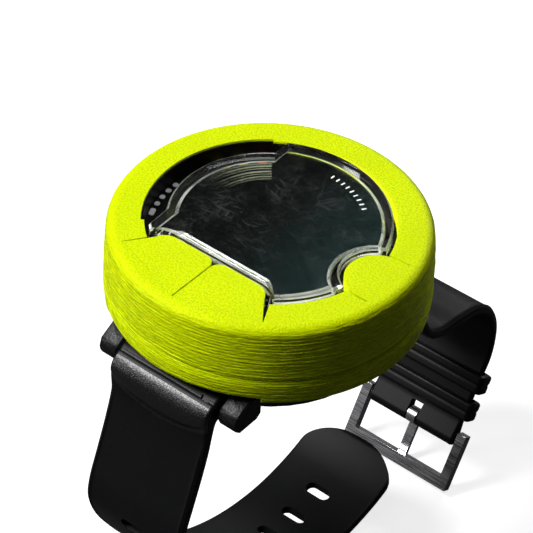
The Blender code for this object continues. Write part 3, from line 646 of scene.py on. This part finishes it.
SLOT_MATERIALS = {
    "lime_boot": LIME,
    "shield_clear": SHIELD_CLEAR,
    "window_crystal": WINDOW_CLEAR,
    "case_black": CASE_BLACK,
    "dial_black": DIAL_BLACK,
    "strap_rubber": RUBBER,
    "seal_rubber": moulded_material("seal_rubber", (0.02, 0.02, 0.02), 0.6, 4.0, 0.02),
    "steel": brushed_material("steel", (0.58, 0.58, 0.60), 0.28),
    "board_green": moulded_material("board_green", (0.01, 0.12, 0.05), 0.4, 3.0, 0.02),
    "chip_black": moulded_material("chip_black", (0.012, 0.012, 0.012), 0.5, 5.0, 0.02),
    "display_dark": DISPLAY_PAINTED_SHEEN,
    "white_plastic": moulded_material("white_plastic", (0.74, 0.74, 0.72), 0.5, 3.0, 0.02),
    "brass_contact": brushed_material("brass_contact", (0.72, 0.52, 0.22), 0.3),
}


# ---------------- boot and pads


def on_top(edge):
    return all(abs(vert.co.z - TOP) < 0.001 for vert in edge.verts)


def sharp(edge):
    return edge.calc_face_angle(0.0) > math.radians(60)


def on_root(edge):
    """Whether an edge lies on a root line, where a pad and the boot are one skin."""
    for side in (1, -1):
        out = clock(1.0, side * LOWER_MID)
        if all(abs(v.co.x * out[0] + v.co.y * out[1] - LOWER_ROOT) < 0.02 for v in edge.verts):
            return True
    return all(abs(v.co.x - SIDE_ROOT) < 0.02 for v in edge.verts)


def wall_waves(x, y, z):
    """How far the printed side wall stands out at each point, in millimetres."""
    draw = random.Random(SEED)
    angle = np.arctan2(y, x)
    total = np.zeros(len(x))
    for _ in range(WAVE_COUNT):
        turns = draw.randint(5, 46)
        pitch = draw.uniform(0.42, 1.3)
        phase = draw.uniform(0, 2 * math.pi)
        sway = draw.uniform(0.2, 0.9) * np.sin(draw.randint(3, 14) * angle + draw.uniform(0, 6))
        total += np.sin(2 * math.pi * z / pitch + sway + phase) * (0.6 + 0.4 * np.sin(turns * angle + phase))
    return WAVE_HEIGHT * total


def boot_profile(rows):
    """The ring's section, from the opening's top edge over the wall to the foot and back up inside."""
    centre = (TOP_R - EDGE_ROUND, TOP - EDGE_ROUND)
    profile = [(OPEN_R, TOP)] + arc(centre, EDGE_ROUND, 90, 0, 14)
    wall_top = TOP - EDGE_ROUND
    above = int(rows * 0.6)
    for index in range(1, above):
        t = index / above
        bulge = WALL_BULGE * math.sin(math.pi * t)
        profile.append((TOP_R + (CREASE_R - TOP_R) * t + bulge, wall_top + (CREASE_Z - wall_top) * t))
    profile += [(CREASE_R, CREASE_Z), (CREASE_R - 0.5, CREASE_Z - 0.02), (CREASE_R - 0.45, CREASE_Z - 0.3)]
    band_top = CREASE_Z - 0.5
    below = rows - above
    for index in range(below):
        t = index / below
        swell = 0.36 * (1 - min(1.0, t / 0.4)) ** 2
        profile.append((BAND_R - 0.04 - swell - 0.6 * t * t, band_top + (BOOT_LOW.z - band_top) * t))
    foot = BAND_R - 0.75
    profile += [(foot, BOOT_LOW.z + 0.2), (foot - 0.25, BOOT_LOW.z), (INNER_R, BOOT_LOW.z)]
    return profile + [(INNER_R, LIP_BOTTOM), (OPEN_R, LIP_BOTTOM)]


def boot_cutters():
    """What is cut from the ring: room for the pads, the recess, and the gaps over the ears."""
    low, high = LIP_BOTTOM - 1.0, TOP + 1.0
    cutters = [prism(lower_pad_room(side), low, high) for side in (1, -1)]
    cutters.append(prism(side_pad_outline(SIDE_R + SLIT), low, high))
    cutters.append(prism(sector(24.0, RECESS_R, *RECESS_CLOCK, 60), low, high))
    for middle in (0.0, 180.0):
        span = (middle - LUG_HALF_ANGLE, middle + LUG_HALF_ANGLE)
        cutters.append(prism(sector(29.0, 36.0, *span, 48), BOOT_LOW.z - 1.0, LUG_EDGE))
    return cutters


def roughen_wall(boot):
    """The waves pushed into the outer wall, faded out at its top and foot."""
    co = np.array([v.co for v in boot.data.vertices]) / MM
    radius = np.hypot(co[:, 0], co[:, 1])
    wall = smoothstep(32.6, 33.3, radius) * smoothstep(TOP, TOP - 1.6, co[:, 2])
    wall *= smoothstep(BOOT_LOW.z, BOOT_LOW.z + 0.5, co[:, 2])
    push = wall * wall_waves(*co.T) / radius
    co[:, 0] *= 1 + push
    co[:, 1] *= 1 + push
    boot.data.vertices.foreach_set("co", (co * MM).ravel())
    boot.data.update()


def build_boot():
    profile = boot_profile(quick_steps(104))
    shape = cut_shape(revolved(profile, quick_steps(420)), boot_cutters())
    soften(shape, lambda edge: on_top(edge) and sharp(edge) and not on_root(edge), SOFT_EDGE)
    boot = finish_mesh("boot_skin", shape, [LIME])
    roughen_wall(boot)
    hand_over(boot, "case_body", "boot")


def build_pad(name, outline, direction, root):
    """A pad, sliced along its length near its root."""
    shape = prism(outline, LIP_BOTTOM, TOP)
    soften(shape, lambda edge: on_top(edge) and sharp(edge) and not on_root(edge), SOFT_EDGE)
    out = Vector((*direction, 0.0))
    for index in range(1, PAD_SLICES + 1):
        geometry = shape.verts[:] + shape.edges[:] + shape.faces[:]
        spot = out * (root - PAD_SLICE * index)
        bmesh.ops.bisect_plane(shape, geom=geometry, plane_co=spot, plane_no=out, dist=0.0001)
    pad = finish_mesh(f"pad_skin_{name}", shape, [LIME])
    start = out * root * MM
    end = out * (root - PAD_BEND) * MM
    height = (PAD_LOW + TOP) / 2 * MM
    start.z = end.z = height
    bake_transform(pad)
    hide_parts(f"boot_pad_{name}")


def build_pads():
    for name, side in (("lower_right", 1), ("lower_left", -1)):
        build_pad(name, lower_pad_outline(side, SLIT), clock(1.0, side * LOWER_MID), LOWER_ROOT)
    build_pad("side", side_pad_outline(SIDE_R), (1.0, 0.0), SIDE_ROOT)


# ---------------- shield, window and dial


def ring_loft(levels):
    """A closed skin through outlines of equal length, each at its height, from low to high."""
    shape = bmesh.new()
    rings = [[shape.verts.new((x, y, z)) for x, y in outline] for outline, z in levels]
    for low, high in zip(rings, rings[1:]):
        bridge(shape, low, high)
    shape.faces.new(rings[0][::-1])
    shape.faces.new(rings[-1])
    return shape


def build_shield():
    """A clear plate with a chamfered edge and a skirt; its hollow is one more loft taken away."""
    levels = [(shield_outline(0.0), SHIELD_LOW.z), (shield_outline(0.0), SHIELD_HIGH.z - SHIELD_CHAMFER)]
    levels += [(shield_outline(0.16), SHIELD_HIGH.z - 0.3), (shield_outline(0.36), SHIELD_HIGH.z - 0.09)]
    levels += [(shield_outline(SHIELD_CHAMFER), SHIELD_HIGH.z)]
    skirt = shield_outline(SHIELD_SKIRT)
    hollow = [(skirt, SHIELD_LOW.z - 1.0), (skirt, SHIELD_ROOF - 0.7)]
    hollow += [(shield_outline(SHIELD_SKIRT + 0.25), SHIELD_ROOF - 0.25)]
    hollow += [(shield_outline(SHIELD_SKIRT + 0.8), SHIELD_ROOF)]
    shape = cut_shape(ring_loft(levels), [ring_loft(hollow)])
    shield = finish_mesh("shield_skin", shape, [SHIELD_CLEAR, SHIELD_EDGE_HIGHLIGHT], 30.0)
    # Sloping faces near the top take the chamfer material with its painted highlight.
    for face in shield.data.polygons:
        sloping = 0.2 < abs(face.normal.z) < 0.97
        face.material_index = 1 if sloping and face.center.z / MM > SHIELD_ROOF - 0.8 else 0
    hand_over(shield, "case_body", "display_shield")


def build_window():
    """The display's window: a dark polished pane with a rounded shoulder."""
    outline_inset = 2.0
    levels = [(shield_outline(outline_inset), WINDOW_LOW.z + 2.1)]
    levels += [(shield_outline(outline_inset), WINDOW_HIGH.z - 0.5)]
    levels += [(shield_outline(outline_inset + 0.15), WINDOW_HIGH.z - 0.15)]
    levels += [(shield_outline(outline_inset + 0.5), WINDOW_HIGH.z)]
    window = finish_mesh("window_pane", ring_loft(levels), [DISPLAY_PAINTED_SHEEN], 30.0)
    hand_over(window, "case_body", "display_window")


def build_recess_shade():
    """A black sheet of painted shade inside the boot's opening, along the 9 o'clock side, in front of the
    lime inner wall.
    """
    low, high = DIAL_TOP + 0.05, TOP - 0.5
    outer = RECESS_R - SHADE_SHEET_GAP
    span = (RECESS_CLOCK[0] + 0.4, RECESS_CLOCK[1] - 0.4)
    shape = prism(sector(outer - SHADE_SHEET_WALL, outer, *span, 90), low, high)
    soften(shape, lambda edge: sharp(edge) and edge.verts[0].co.z > high - 0.1, 0.1, 2)
    # A short strip of the same painted shade along the opening beyond the recess.
    outer = OPEN_R - SHADE_SHEET_GAP
    step = prism(sector(outer - SHADE_SHEET_WALL, outer, RECESS_CLOCK[1] - 0.8, -30.6, 12), low, high)
    joined = bpy.data.meshes.new("step")
    step.to_mesh(joined)
    shape.from_mesh(joined)
    step.free()
    bpy.data.meshes.remove(joined)
    shade_sheet = finish_mesh("recess_painted_shade", shape, [DIAL_BLACK])
    hand_over(shade_sheet, "case_body")


def build_reflection_arcs():
    """Fine arcs under the shield that carry a painted reflection, pale arcs that fade out towards 9 o'clock.
    """
    level = WINDOW_HIGH.z + LAID_ON
    for index, (radius, width) in enumerate(REFLECTION_ARCS):
        span = (REFLECTION_CLOCK[0] + 3 * index, REFLECTION_CLOCK[1])
        shape = prism(sector(radius - width, radius, *span, 60), level, level + 0.1)
        soften(shape, lambda edge: sharp(edge) and edge.verts[0].co.z > level + 0.05, 0.03, 1)
        reflection_arc = finish_mesh(f"shield_painted_reflection_{index + 1}", shape, [PAINTED_REFLECTION], 40.0)
        hand_over(reflection_arc, "case_body")


def mark(name, radius, angle, size, low, high, material):
    """A small raised block with round corners, at a clock angle on the dial; size is across, then along."""
    turn = Matrix.Rotation(math.radians(-angle), 2)
    centre = Vector(clock(radius, angle))
    corners = rounded_box(size[1], size[0], min(size) * 0.42)
    outline = [tuple(centre + turn @ Vector(corner)) for corner in corners]
    piece = finish_mesh(name, prism(outline, low, high), [material], 40.0)
    hand_over(piece, "case_body")


def build_marks():
    """The dial's marks down the 9 o'clock side, then an arc of plain ticks on the window."""
    low, high = DIAL_TOP + LAID_ON, DIAL_TOP + 0.2
    for index, (angle, length) in enumerate(WHITE_MARKS):
        mark(f"dial_mark_white_{index + 1}", WHITE_MARK_R, angle, (1.15, length), low, high, MARK_WHITE)
    for index, angle in enumerate(YELLOW_MARKS):
        mark(f"dial_mark_yellow_{index + 1}", COLOUR_MARK_R, angle, (1.1, 2.2), low, high, MARK_YELLOW)
    mark("dial_mark_red", COLOUR_MARK_R, RED_MARK, (1.1, 2.0), low, high, MARK_RED)
    low, high = WINDOW_HIGH.z + LAID_ON, WINDOW_HIGH.z + LAID_ON + 0.06
    for index in range(TICK_COUNT):
        angle = TICK_FIRST + TICK_PITCH * index
        mark(f"window_tick_{index + 1}", TICK_R, angle, TICK_SIZE, low, high, MARK_WHITE)


# ---------------- strap


def smooth_path(guides, count):
    """A Catmull-Rom path through the guide points, with count steps between two of them."""
    padded = [guides[0]] + list(guides) + [guides[-1]]
    path = []
    for index in range(1, len(padded) - 2):
        before, start, end, after = (Vector(padded[index + shift]) for shift in (-1, 0, 1, 2))
        for step in range(count):
            t = step / count
            path.append(0.5 * (
                2 * start + (end - before) * t + (2 * before - 5 * start + 4 * end - after) * t ** 2
                + (3 * start - 3 * end + after - before) * t ** 3
            ))
    path.append(Vector(guides[-1]))
    return path


TAIL_GUIDES = [
    (-30.2, 5.2), (-33.0, 3.0), (-34.0, -3.0), (-36.0, -9.5), (-38.6, -16.5), (-41.0, -23.0),
    (-41.6, -28.0), (-39.6, -34.0), (-35.6, -41.0), (-30.5, -48.5), (-22.5, -58.0), (-11.5, -66.0),
    (2.0, -71.5), (16.0, -73.5), (29.0, -71.8), (40.0, -67.5),
]
BUCKLE_GUIDES = [
    (30.2, 5.2), (33.6, 3.2), (36.4, -4.0), (39.4, -13.0), (42.6, -22.0), (46.4, -28.6), (52.4, -32.2),
    (60.0, -33.6), (67.6, -35.8), (73.0, -40.6), (75.8, -47.6),
]
RUN_START = (75.2, -56.0)
RUN_DIRECTION = (-0.5, -0.866)
RUN_LENGTH = 23.0
EYE_R = 2.1
SLOT_FIRST = 37.0
SLOT_PITCH = 9.5
SLOT_COUNT = 10
SLOT_SIZE = (6.5, 3.0)


def lengths_along(path):
    lengths = [0.0]
    for before, after in zip(path, path[1:]):
        lengths.append(lengths[-1] + (after - before).length)
    return lengths


def place_along(path, distance):
    """The point and the tangent at a distance along the path."""
    lengths = lengths_along(path)
    for index in range(1, len(path)):
        if lengths[index] >= distance:
            share = (distance - lengths[index - 1]) / (lengths[index] - lengths[index - 1])
            tangent = (path[index] - path[index - 1]).normalized()
            return path[index - 1].lerp(path[index], share), tangent
    return path[-1], (path[-1] - path[-2]).normalized()


def core_half(length, total, eye):
    """Half the strap's thickness: its lug's swell and, on the half that has one, the buckle pin's eye."""
    half = STRAP_HALF_T + (LUG_R - STRAP_HALF_T) * max(0.0, 1 - length / LUG_TAPER) ** 1.3
    if eye:
        half += (EYE_R - STRAP_HALF_T) * max(0.0, 1 - (total - length) / 4.5)
    return half


def roll_swell(length, across, outer):
    """How far the roll over the pin stands out. It reaches lower in mid-width, to a crescent crease."""
    reach = ROLL_REACH[0] + ROLL_REACH[1] * (1 - across * across)
    place = (length - ROLL_START) / reach
    if not 0.0 < place < 1.0:
        return 0.0
    return ROLL_HEIGHTS[outer] * math.sqrt(1 - (2 * place - 1) ** 2) * (1 - 0.4 * across ** 4)


def edge_bead(length, across):
    """The thin raised line along both edges of the strap's outer face."""
    fade = min(1.0, max(0.0, (length - 8.0) / 6.0))
    return BEAD_HEIGHT * fade * math.exp(-((abs(across) - BEAD_PLACE) / 0.016) ** 2)


def turned_end(centre, first, last, count):
    """Points of a round end from one point to another, half a turn about a centre, both left out."""
    arm, end_arm = first - centre, last - centre
    points = []
    for index in range(1, count):
        share = index / count
        reach = arm.length * (1 - share) + end_arm.length * share
        turn = Matrix.Rotation(-math.pi * share, 2)
        points.append(centre + (turn @ arm.normalized()) * reach)
    return points


def side_view(path, across, shrink, outer, eye):
    """The strap's closed outline at one place across its width, as (y, z) points."""
    lengths = lengths_along(path)
    last = len(path) - 1
    left, right = [], []
    for index, point in enumerate(path):
        tangent = (path[min(index + 1, last)] - path[max(index - 1, 0)]).normalized()
        normal = Vector((-tangent.y, tangent.x))
        half = core_half(lengths[index], lengths[-1], eye) - shrink
        proud = half + roll_swell(lengths[index], across, outer) + edge_bead(lengths[index], across)
        left.append(point + normal * (proud if outer > 0 else half))
        right.append(point - normal * (half if outer > 0 else proud))
    return left + turned_end(path[-1], left[-1], right[-1], 8) + right[::-1] + turned_end(
        path[0], right[0], left[0], 14
    )


def strap_stations():
    """Places across the strap from edge to edge, -1 to 1, close together where it turns over."""
    count = quick_steps(56)
    flat = 1 - EDGE_R / STRAP_HALF_W
    middle = [flat * (2 * index / count - 1) for index in range(count + 1)]
    turn = [flat + (1 - flat) * math.sin(math.pi / 2 * index / 6) for index in range(1, 7)]
    beads = [BEAD_PLACE + shift for shift in (-0.02, -0.01, 0.0, 0.01)]
    places = middle + turn + [-place for place in turn] + beads + [-place for place in beads]
    return sorted(set(round(place, 5) for place in places))


def strap_skin(path, outer, eye):
    """The strap as a grid: its side view at each station, drawn in at both edges."""
    shape = bmesh.new()
    rows = []
    for across in strap_stations():
        over = abs(across) * STRAP_HALF_W - (STRAP_HALF_W - EDGE_R)
        shrink = EDGE_R - math.sqrt(max(EDGE_R ** 2 - max(over, 0.0) ** 2, 0.0))
        line = side_view(path, across, min(shrink, EDGE_R * 0.9), outer, eye)
        rows.append([shape.verts.new((across * STRAP_HALF_W, point.x, point.y)) for point in line])
    count = len(rows[0])
    for here, there in zip(rows, rows[1:]):
        for index in range(count):
            after = (index + 1) % count
            shape.faces.new((here[index], there[index], there[after], here[after]))
    shape.faces.new(rows[0])
    shape.faces.new(rows[-1][::-1])
    bmesh.ops.recalc_face_normals(shape, faces=shape.faces)
    return shape


def pin_bore(spot):
    """A rod along X through a (y, z) place."""
    shape = bmesh.new()
    turn = Matrix.Rotation(math.pi / 2, 4, "Y")
    bmesh.ops.create_cone(
        shape, cap_ends=True, segments=32, radius1=PIN_BORE_R, radius2=PIN_BORE_R, depth=60.0,
        matrix=Matrix.Translation((0.0, *spot)) @ turn,
    )
    return shape


def tilted_prism(outline, spot, tangent, reach):
    """An outline of (across, along) points pushed through the strap at a place on its path."""
    shape = prism(outline, -reach, reach)
    tilt = Matrix.Rotation(math.atan2(tangent.y, tangent.x) - math.pi / 2, 4, "X")
    lay = Matrix.Rotation(math.pi / 2, 4, "X")
    shape.transform(Matrix.Translation((0.0, spot.x, spot.y)) @ tilt @ lay)
    return shape


def capsule(length, width, count=12):
    reach = (length - width) / 2
    return arc((reach, 0.0), width / 2, -90, 90, count) + arc((-reach, 0.0), width / 2, 90, 270, count)


def tip_waste():
    """What is cut from the strap's end to leave a rounded tip: two corners outside an ellipse."""
    corners = []
    for side in (1, -1):
        curve = [(side * STRAP_HALF_W * math.cos(math.pi / 2 * k / 20),
                  TIP_LENGTH * math.sin(math.pi / 2 * k / 20)) for k in range(21)]
        corners.append(curve + [(0.0, TIP_LENGTH + 4.0), (side * (STRAP_HALF_W + 3), TIP_LENGTH + 4.0),
                                (side * (STRAP_HALF_W + 3), 0.0)])
    return corners


def paint_roll(piece):
    """The rough second material on the tail half's roll, down to its crescent crease."""
    piece.data.materials.append(ROLL_RUBBER)
    for face in piece.data.polygons:
        centre = face.center / MM
        across = centre.x / STRAP_HALF_W
        reach = ROLL_REACH[0] + ROLL_REACH[1] * (1 - across * across)
        low = PIN_Z - 0.93 * (ROLL_START + reach)
        high = PIN_Z - ROLL_START + 2.4
        if -PIN_Y_ABS - centre.y > 0.6 and low < centre.z < high:
            face.material_index = 1


def finish_strap(name, shape, body, replaced):
    piece = finish_mesh(name, shape, [RUBBER], 34.0)
    hand_over(piece, body, replaced)
    return piece


def build_tail_half():
    path = smooth_path(TAIL_GUIDES, quick_steps(18))
    cutters = [pin_bore((-PIN_Y_ABS, PIN_Z))]
    for index in range(SLOT_COUNT):
        spot, tangent = place_along(path, SLOT_FIRST + SLOT_PITCH * index)
        cutters.append(tilted_prism(capsule(*SLOT_SIZE), spot, tangent, 4.0))
    notch = prism([(8.9, -0.5), (10.9, -0.5), (10.9, 0.5), (8.9, 0.5)], -0.5, 0.5)
    behind_pin = Matrix.Translation((0.0, -PIN_Y_ABS - 1.75, PIN_Z + 2.1))
    notch.transform(behind_pin @ Matrix.Rotation(math.radians(40), 4, "X"))
    cutters.append(notch)
    total = lengths_along(path)[-1]
    spot, tangent = place_along(path, total - TIP_LENGTH + STRAP_HALF_T)
    cutters += [tilted_prism(corner, spot, tangent, 5.0) for corner in tip_waste()]
    shape = cut_shape(strap_skin(path, -1, False), cutters)
    paint_roll(finish_strap("strap_tail_skin", shape, "tail_half", "strap_tail_half"))


def keeper_run(share):
    return tuple(RUN_START[axis] + share * RUN_LENGTH * RUN_DIRECTION[axis] for axis in (0, 1))


def build_buckle_half():
    run = [keeper_run(share) for share in (0.0, 0.33, 0.66, 1.0)]
    path = smooth_path(BUCKLE_GUIDES + run, quick_steps(16))
    end = Vector(keeper_run(1.0))
    slot = [(-1.7, -4.0), (1.7, -4.0), (1.7, 4.0), (-1.7, 4.0)]
    cutters = [pin_bore((PIN_Y_ABS, PIN_Z)), pin_bore(end)]
    cutters.append(tilted_prism(slot, end, Vector(RUN_DIRECTION), 4.0))
    shape = cut_shape(strap_skin(path, 1, True), cutters)
    finish_strap("strap_buckle_skin", shape, "buckle_half", "strap_buckle_half")


def build_keepers():
    """Two loops of rubber round the strap, softly rounded, with a groove along their middle."""
    lay = Matrix.Rotation(math.atan2(RUN_DIRECTION[1], RUN_DIRECTION[0]) - math.pi / 2, 4, "X")
    for name, distance in KEEPERS.items():
        spot = Vector(RUN_START) + Vector(RUN_DIRECTION) * distance
        levels = []
        for index in range(KEEPER_RINGS + 1):
            along = KEEPER_DEPTH * (index / KEEPER_RINGS - 0.5)
            over = max(0.0, abs(along) - (KEEPER_DEPTH / 2 - KEEPER_ROUND))
            inset = KEEPER_ROUND - math.sqrt(max(KEEPER_ROUND ** 2 - over * over, 0.0))
            inset += KEEPER_GROOVE * math.exp(-(along / 0.4) ** 2)
            levels.append((rounded_box(*(size - 2 * inset for size in KEEPER_SIZE), 1.3), along))
        hole = prism(rounded_box(*KEEPER_HOLE, 0.8), -6.0, 6.0)
        shape = cut_shape(ring_loft(levels), [hole])
        shape.transform(Matrix.Translation((0.0, *spot)) @ lay)
        piece = finish_mesh(f"{name}_skin", shape, [RUBBER], 40.0)
        hand_over(piece, name.replace("strap_", ""), name)


# ---------------- springs


def coil(radius, wire, low, high, turns):
    """A coil of round wire with flattened end turns, as a closed tube."""
    shape = bmesh.new()
    steps = int(turns * 32)
    rings = []
    for index in range(steps + 1):
        share = index / steps
        angle = 2 * math.pi * turns * share
        height = low + wire + (high - low - 2 * wire) * (share * share * (3 - 2 * share) * 0.5 + share * 0.5)
        out = Vector((math.cos(angle), math.sin(angle), 0.0))
        ring = [out * (radius + wire * math.cos(turn)) + Vector((0.0, 0.0, height + wire * math.sin(turn)))
                for turn in (2 * math.pi * k / 10 for k in range(10))]
        rings.append([shape.verts.new(point) for point in ring])
    for here, there in zip(rings, rings[1:]):
        bridge(shape, here, there)
    shape.faces.new(rings[0][::-1])
    shape.faces.new(rings[-1])
    return shape


def build_springs():
    """Each button's return spring, a coil in the box of its CAD spring."""
    for name in ("lower_left", "lower_right", "side"):
        low, high = (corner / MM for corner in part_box(f"button_spring_{name}"))
        middle = (low + high) / 2
        shape = coil(SPRING_R, SPRING_WIRE, low.z, high.z, SPRING_TURNS)
        shape.transform(Matrix.Translation((middle.x, middle.y, 0.0)))
        spring = finish_mesh(f"button_coil_{name}", shape, [SLOT_MATERIALS["steel"]], 60.0)
        hand_over(spring, "case_body", f"button_spring_{name}")
        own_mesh(spring)


# ---------------- carried-over CAD nodes


def smoothing_group():
    """A node group that welds the tessellated mesh and shades it smooth apart from its sharp edges."""
    group = bpy.data.node_groups.new("cad_smooth", "GeometryNodeTree")
    group.interface.new_socket("Geometry", in_out="INPUT", socket_type="NodeSocketGeometry")
    group.interface.new_socket("Geometry", in_out="OUTPUT", socket_type="NodeSocketGeometry")
    nodes, links = group.nodes, group.links
    source = nodes.new("NodeGroupInput")
    merge = nodes.new("GeometryNodeMergeByDistance")
    merge.inputs["Distance"].default_value = 0.000002
    drop = nodes.new("GeometryNodeRemoveAttribute")
    drop.inputs["Name"].default_value = "custom_normal"
    smooth = nodes.new("GeometryNodeSetShadeSmooth")
    angle = nodes.new("GeometryNodeInputMeshEdgeAngle")
    compare = nodes.new("FunctionNodeCompare")
    compare.operation = "GREATER_THAN"
    compare.inputs["B"].default_value = math.radians(33)
    sharpen = nodes.new("GeometryNodeSetShadeSmooth")
    sharpen.domain = "EDGE"
    sharpen.inputs["Shade Smooth"].default_value = False
    target = nodes.new("NodeGroupOutput")
    chain = (source, merge, drop, smooth, sharpen, target)
    for before, after in zip(chain, chain[1:]):
        links.new(before.outputs[0], after.inputs[0])
    links.new(angle.outputs["Unsigned Angle"], compare.inputs["A"])
    links.new(compare.outputs["Result"], sharpen.inputs["Selection"])
    return group


BEVELS = {"case": 0.22, "case_back": 0.18, "battery_lid": 0.15, "battery_lock_ring": 0.15,
          "buckle_frame": 0.55, "buckle_prong": 0.25, "sensor_cover": 0.1}


def dress_cad_nodes():
    """Every carried-over node gets its slot's material, smooth shading and, where seen, soft edges."""
    group = smoothing_group()
    slots = {part["node"]: part["material_slot"] for part in frame["record"]["subparts"]}
    for name, node in frame["nodes"].items():
        node.data.materials.clear()
        node.data.materials.append(SLOT_MATERIALS[slots[name]])
        modifier = node.modifiers.new("smooth", "NODES")
        modifier.node_group = group
        if name in BEVELS:
            bevel = node.modifiers.new("soft_edges", "BEVEL")
            bevel.width = BEVELS[name] * MM
            bevel.segments = 2
            bevel.limit_method = "ANGLE"
            bevel.angle_limit = math.radians(38)


# ---------------- stage


def around(azimuth, elevation, distance):
    """A place seen from the origin, with azimuth 0 towards -Y."""
    a, e = math.radians(azimuth), math.radians(elevation)
    direction = (math.sin(a) * math.cos(e), -math.cos(a) * math.cos(e), math.sin(e))
    return tuple(distance * part for part in direction)


WORLD_FILL = 0.014
CAMERA_AZIMUTH = 37.0
CAMERA_ELEVATION = 39.87
CAMERA_ROLL = 2.84
CAMERA_DISTANCE = 0.4457
CAMERA_LENS = 148.6
AIM_DOWN = 1.229
AIM_LEFT = 0.122

# Each light's azimuth from the camera's, elevation, distance in metres, disc size and power in watts
LIGHTS = {
    "key": (-81, 51, 0.9, 0.40, 9.6),
    "low_left": (-82, 12, 0.8, 0.12, 0.8),
    "top": (140, 74, 0.9, 0.45, 1.4),
    "back": (152, 18, 0.9, 0.30, 1.4),
}
LIGHT_AIM = Vector((0.0, 0.0, 0.01))


def build_world():
    """White to the camera, and a faint fill to diffuse and glossy rays."""
    scene = bpy.context.scene
    scene.view_settings.view_transform = "Standard"
    scene.world = bpy.data.worlds.new("studio")
    scene.world.use_nodes = True
    tree = scene.world.node_tree
    path = tree.nodes.new("ShaderNodeLightPath")
    glow = None
    for ray, strength in (("Camera", 1.0), ("Diffuse", WORLD_FILL), ("Glossy", WORLD_FILL)):
        part = tree.nodes.new("ShaderNodeMath")
        part.operation = "MULTIPLY_ADD"
        part.inputs[1].default_value = strength
        part.inputs[2].default_value = 0.0
        tree.links.new(path.outputs[f"Is {ray} Ray"], part.inputs[0])
        if glow is not None:
            tree.links.new(glow, part.inputs[2])
        glow = part.outputs[0]
    background = tree.nodes["Background"]
    tree.links.new(glow, background.inputs["Strength"])
    background.inputs["Color"].default_value = (1.0, 1.0, 1.0, 1.0)


def build_floor():
    """A pale floor, dark to bounced light and glowing to the camera so that it stays white far away."""
    bpy.ops.mesh.primitive_plane_add(size=6.0, location=(0.0, 0.0, CAD_BOX[0][2] - 0.0005))
    floor = bpy.context.object
    floor.name = "floor"
    n = Nodes("floor_pale")
    n.set(Base_Color=(0.05, 0.05, 0.05), Roughness=0.9)
    distance = n.add("ShaderNodeVectorMath", operation="LENGTH")
    n.feed(distance.inputs[0], n.place)
    glow = n.add("ShaderNodeEmission")
    n.feed(glow.inputs["Strength"], n.ramp(distance.outputs["Value"], 0.25, 0.7, 0.74, 1.0))
    both = n.add("ShaderNodeAddShader")
    n.feed(both.inputs[0], glow.outputs[0])
    n.feed(both.inputs[1], n.plain_shader("ShaderNodeBsdfDiffuse", (0.6, 0.6, 0.6)))
    path = n.add("ShaderNodeLightPath")
    n.show(n.mix_shader(path.outputs["Is Camera Ray"], n.shader.outputs[0], both.outputs[0]))
    floor.data.materials.append(n.material)


def build_lights():
    for name, (turn, elevation, distance, size, power) in LIGHTS.items():
        data = bpy.data.lights.new(name, "AREA")
        data.shape = "DISK"
        data.size = size
        data.energy = power
        light = bpy.data.objects.new(name, data)
        bpy.context.scene.collection.objects.link(light)
        light.location = around(CAMERA_AZIMUTH + turn, elevation, distance)
        light.rotation_euler = (LIGHT_AIM - light.location).to_track_quat("-Z", "Y").to_euler()


def build_camera():
    """The camera looks at the ring's middle from its azimuth and elevation, a little low and left."""
    data = bpy.data.cameras.new("camera")
    data.lens = CAMERA_LENS
    data.sensor_width = 36.0
    camera = bpy.data.objects.new("camera", data)
    bpy.context.scene.collection.objects.link(camera)
    target = Vector((0.0, 0.0, TOP * MM))
    place = target + Vector(around(CAMERA_AZIMUTH, CAMERA_ELEVATION, CAMERA_DISTANCE))
    look = (target - place).to_track_quat("-Z", "Y").to_matrix().to_4x4()
    roll = Matrix.Rotation(math.radians(CAMERA_ROLL), 4, "Z")
    aim = Matrix.Rotation(math.radians(AIM_LEFT), 4, "Y") @ Matrix.Rotation(-math.radians(AIM_DOWN), 4, "X")
    camera.matrix_world = Matrix.Translation(place) @ look @ roll @ aim
    bpy.context.scene.camera = camera


dress_cad_nodes()
build_boot()
build_pads()
build_shield()
build_window()
build_recess_shade()
build_reflection_arcs()
build_marks()
build_tail_half()
build_buckle_half()
build_keepers()
build_springs()
build_world()
build_floor()
build_lights()
build_camera()
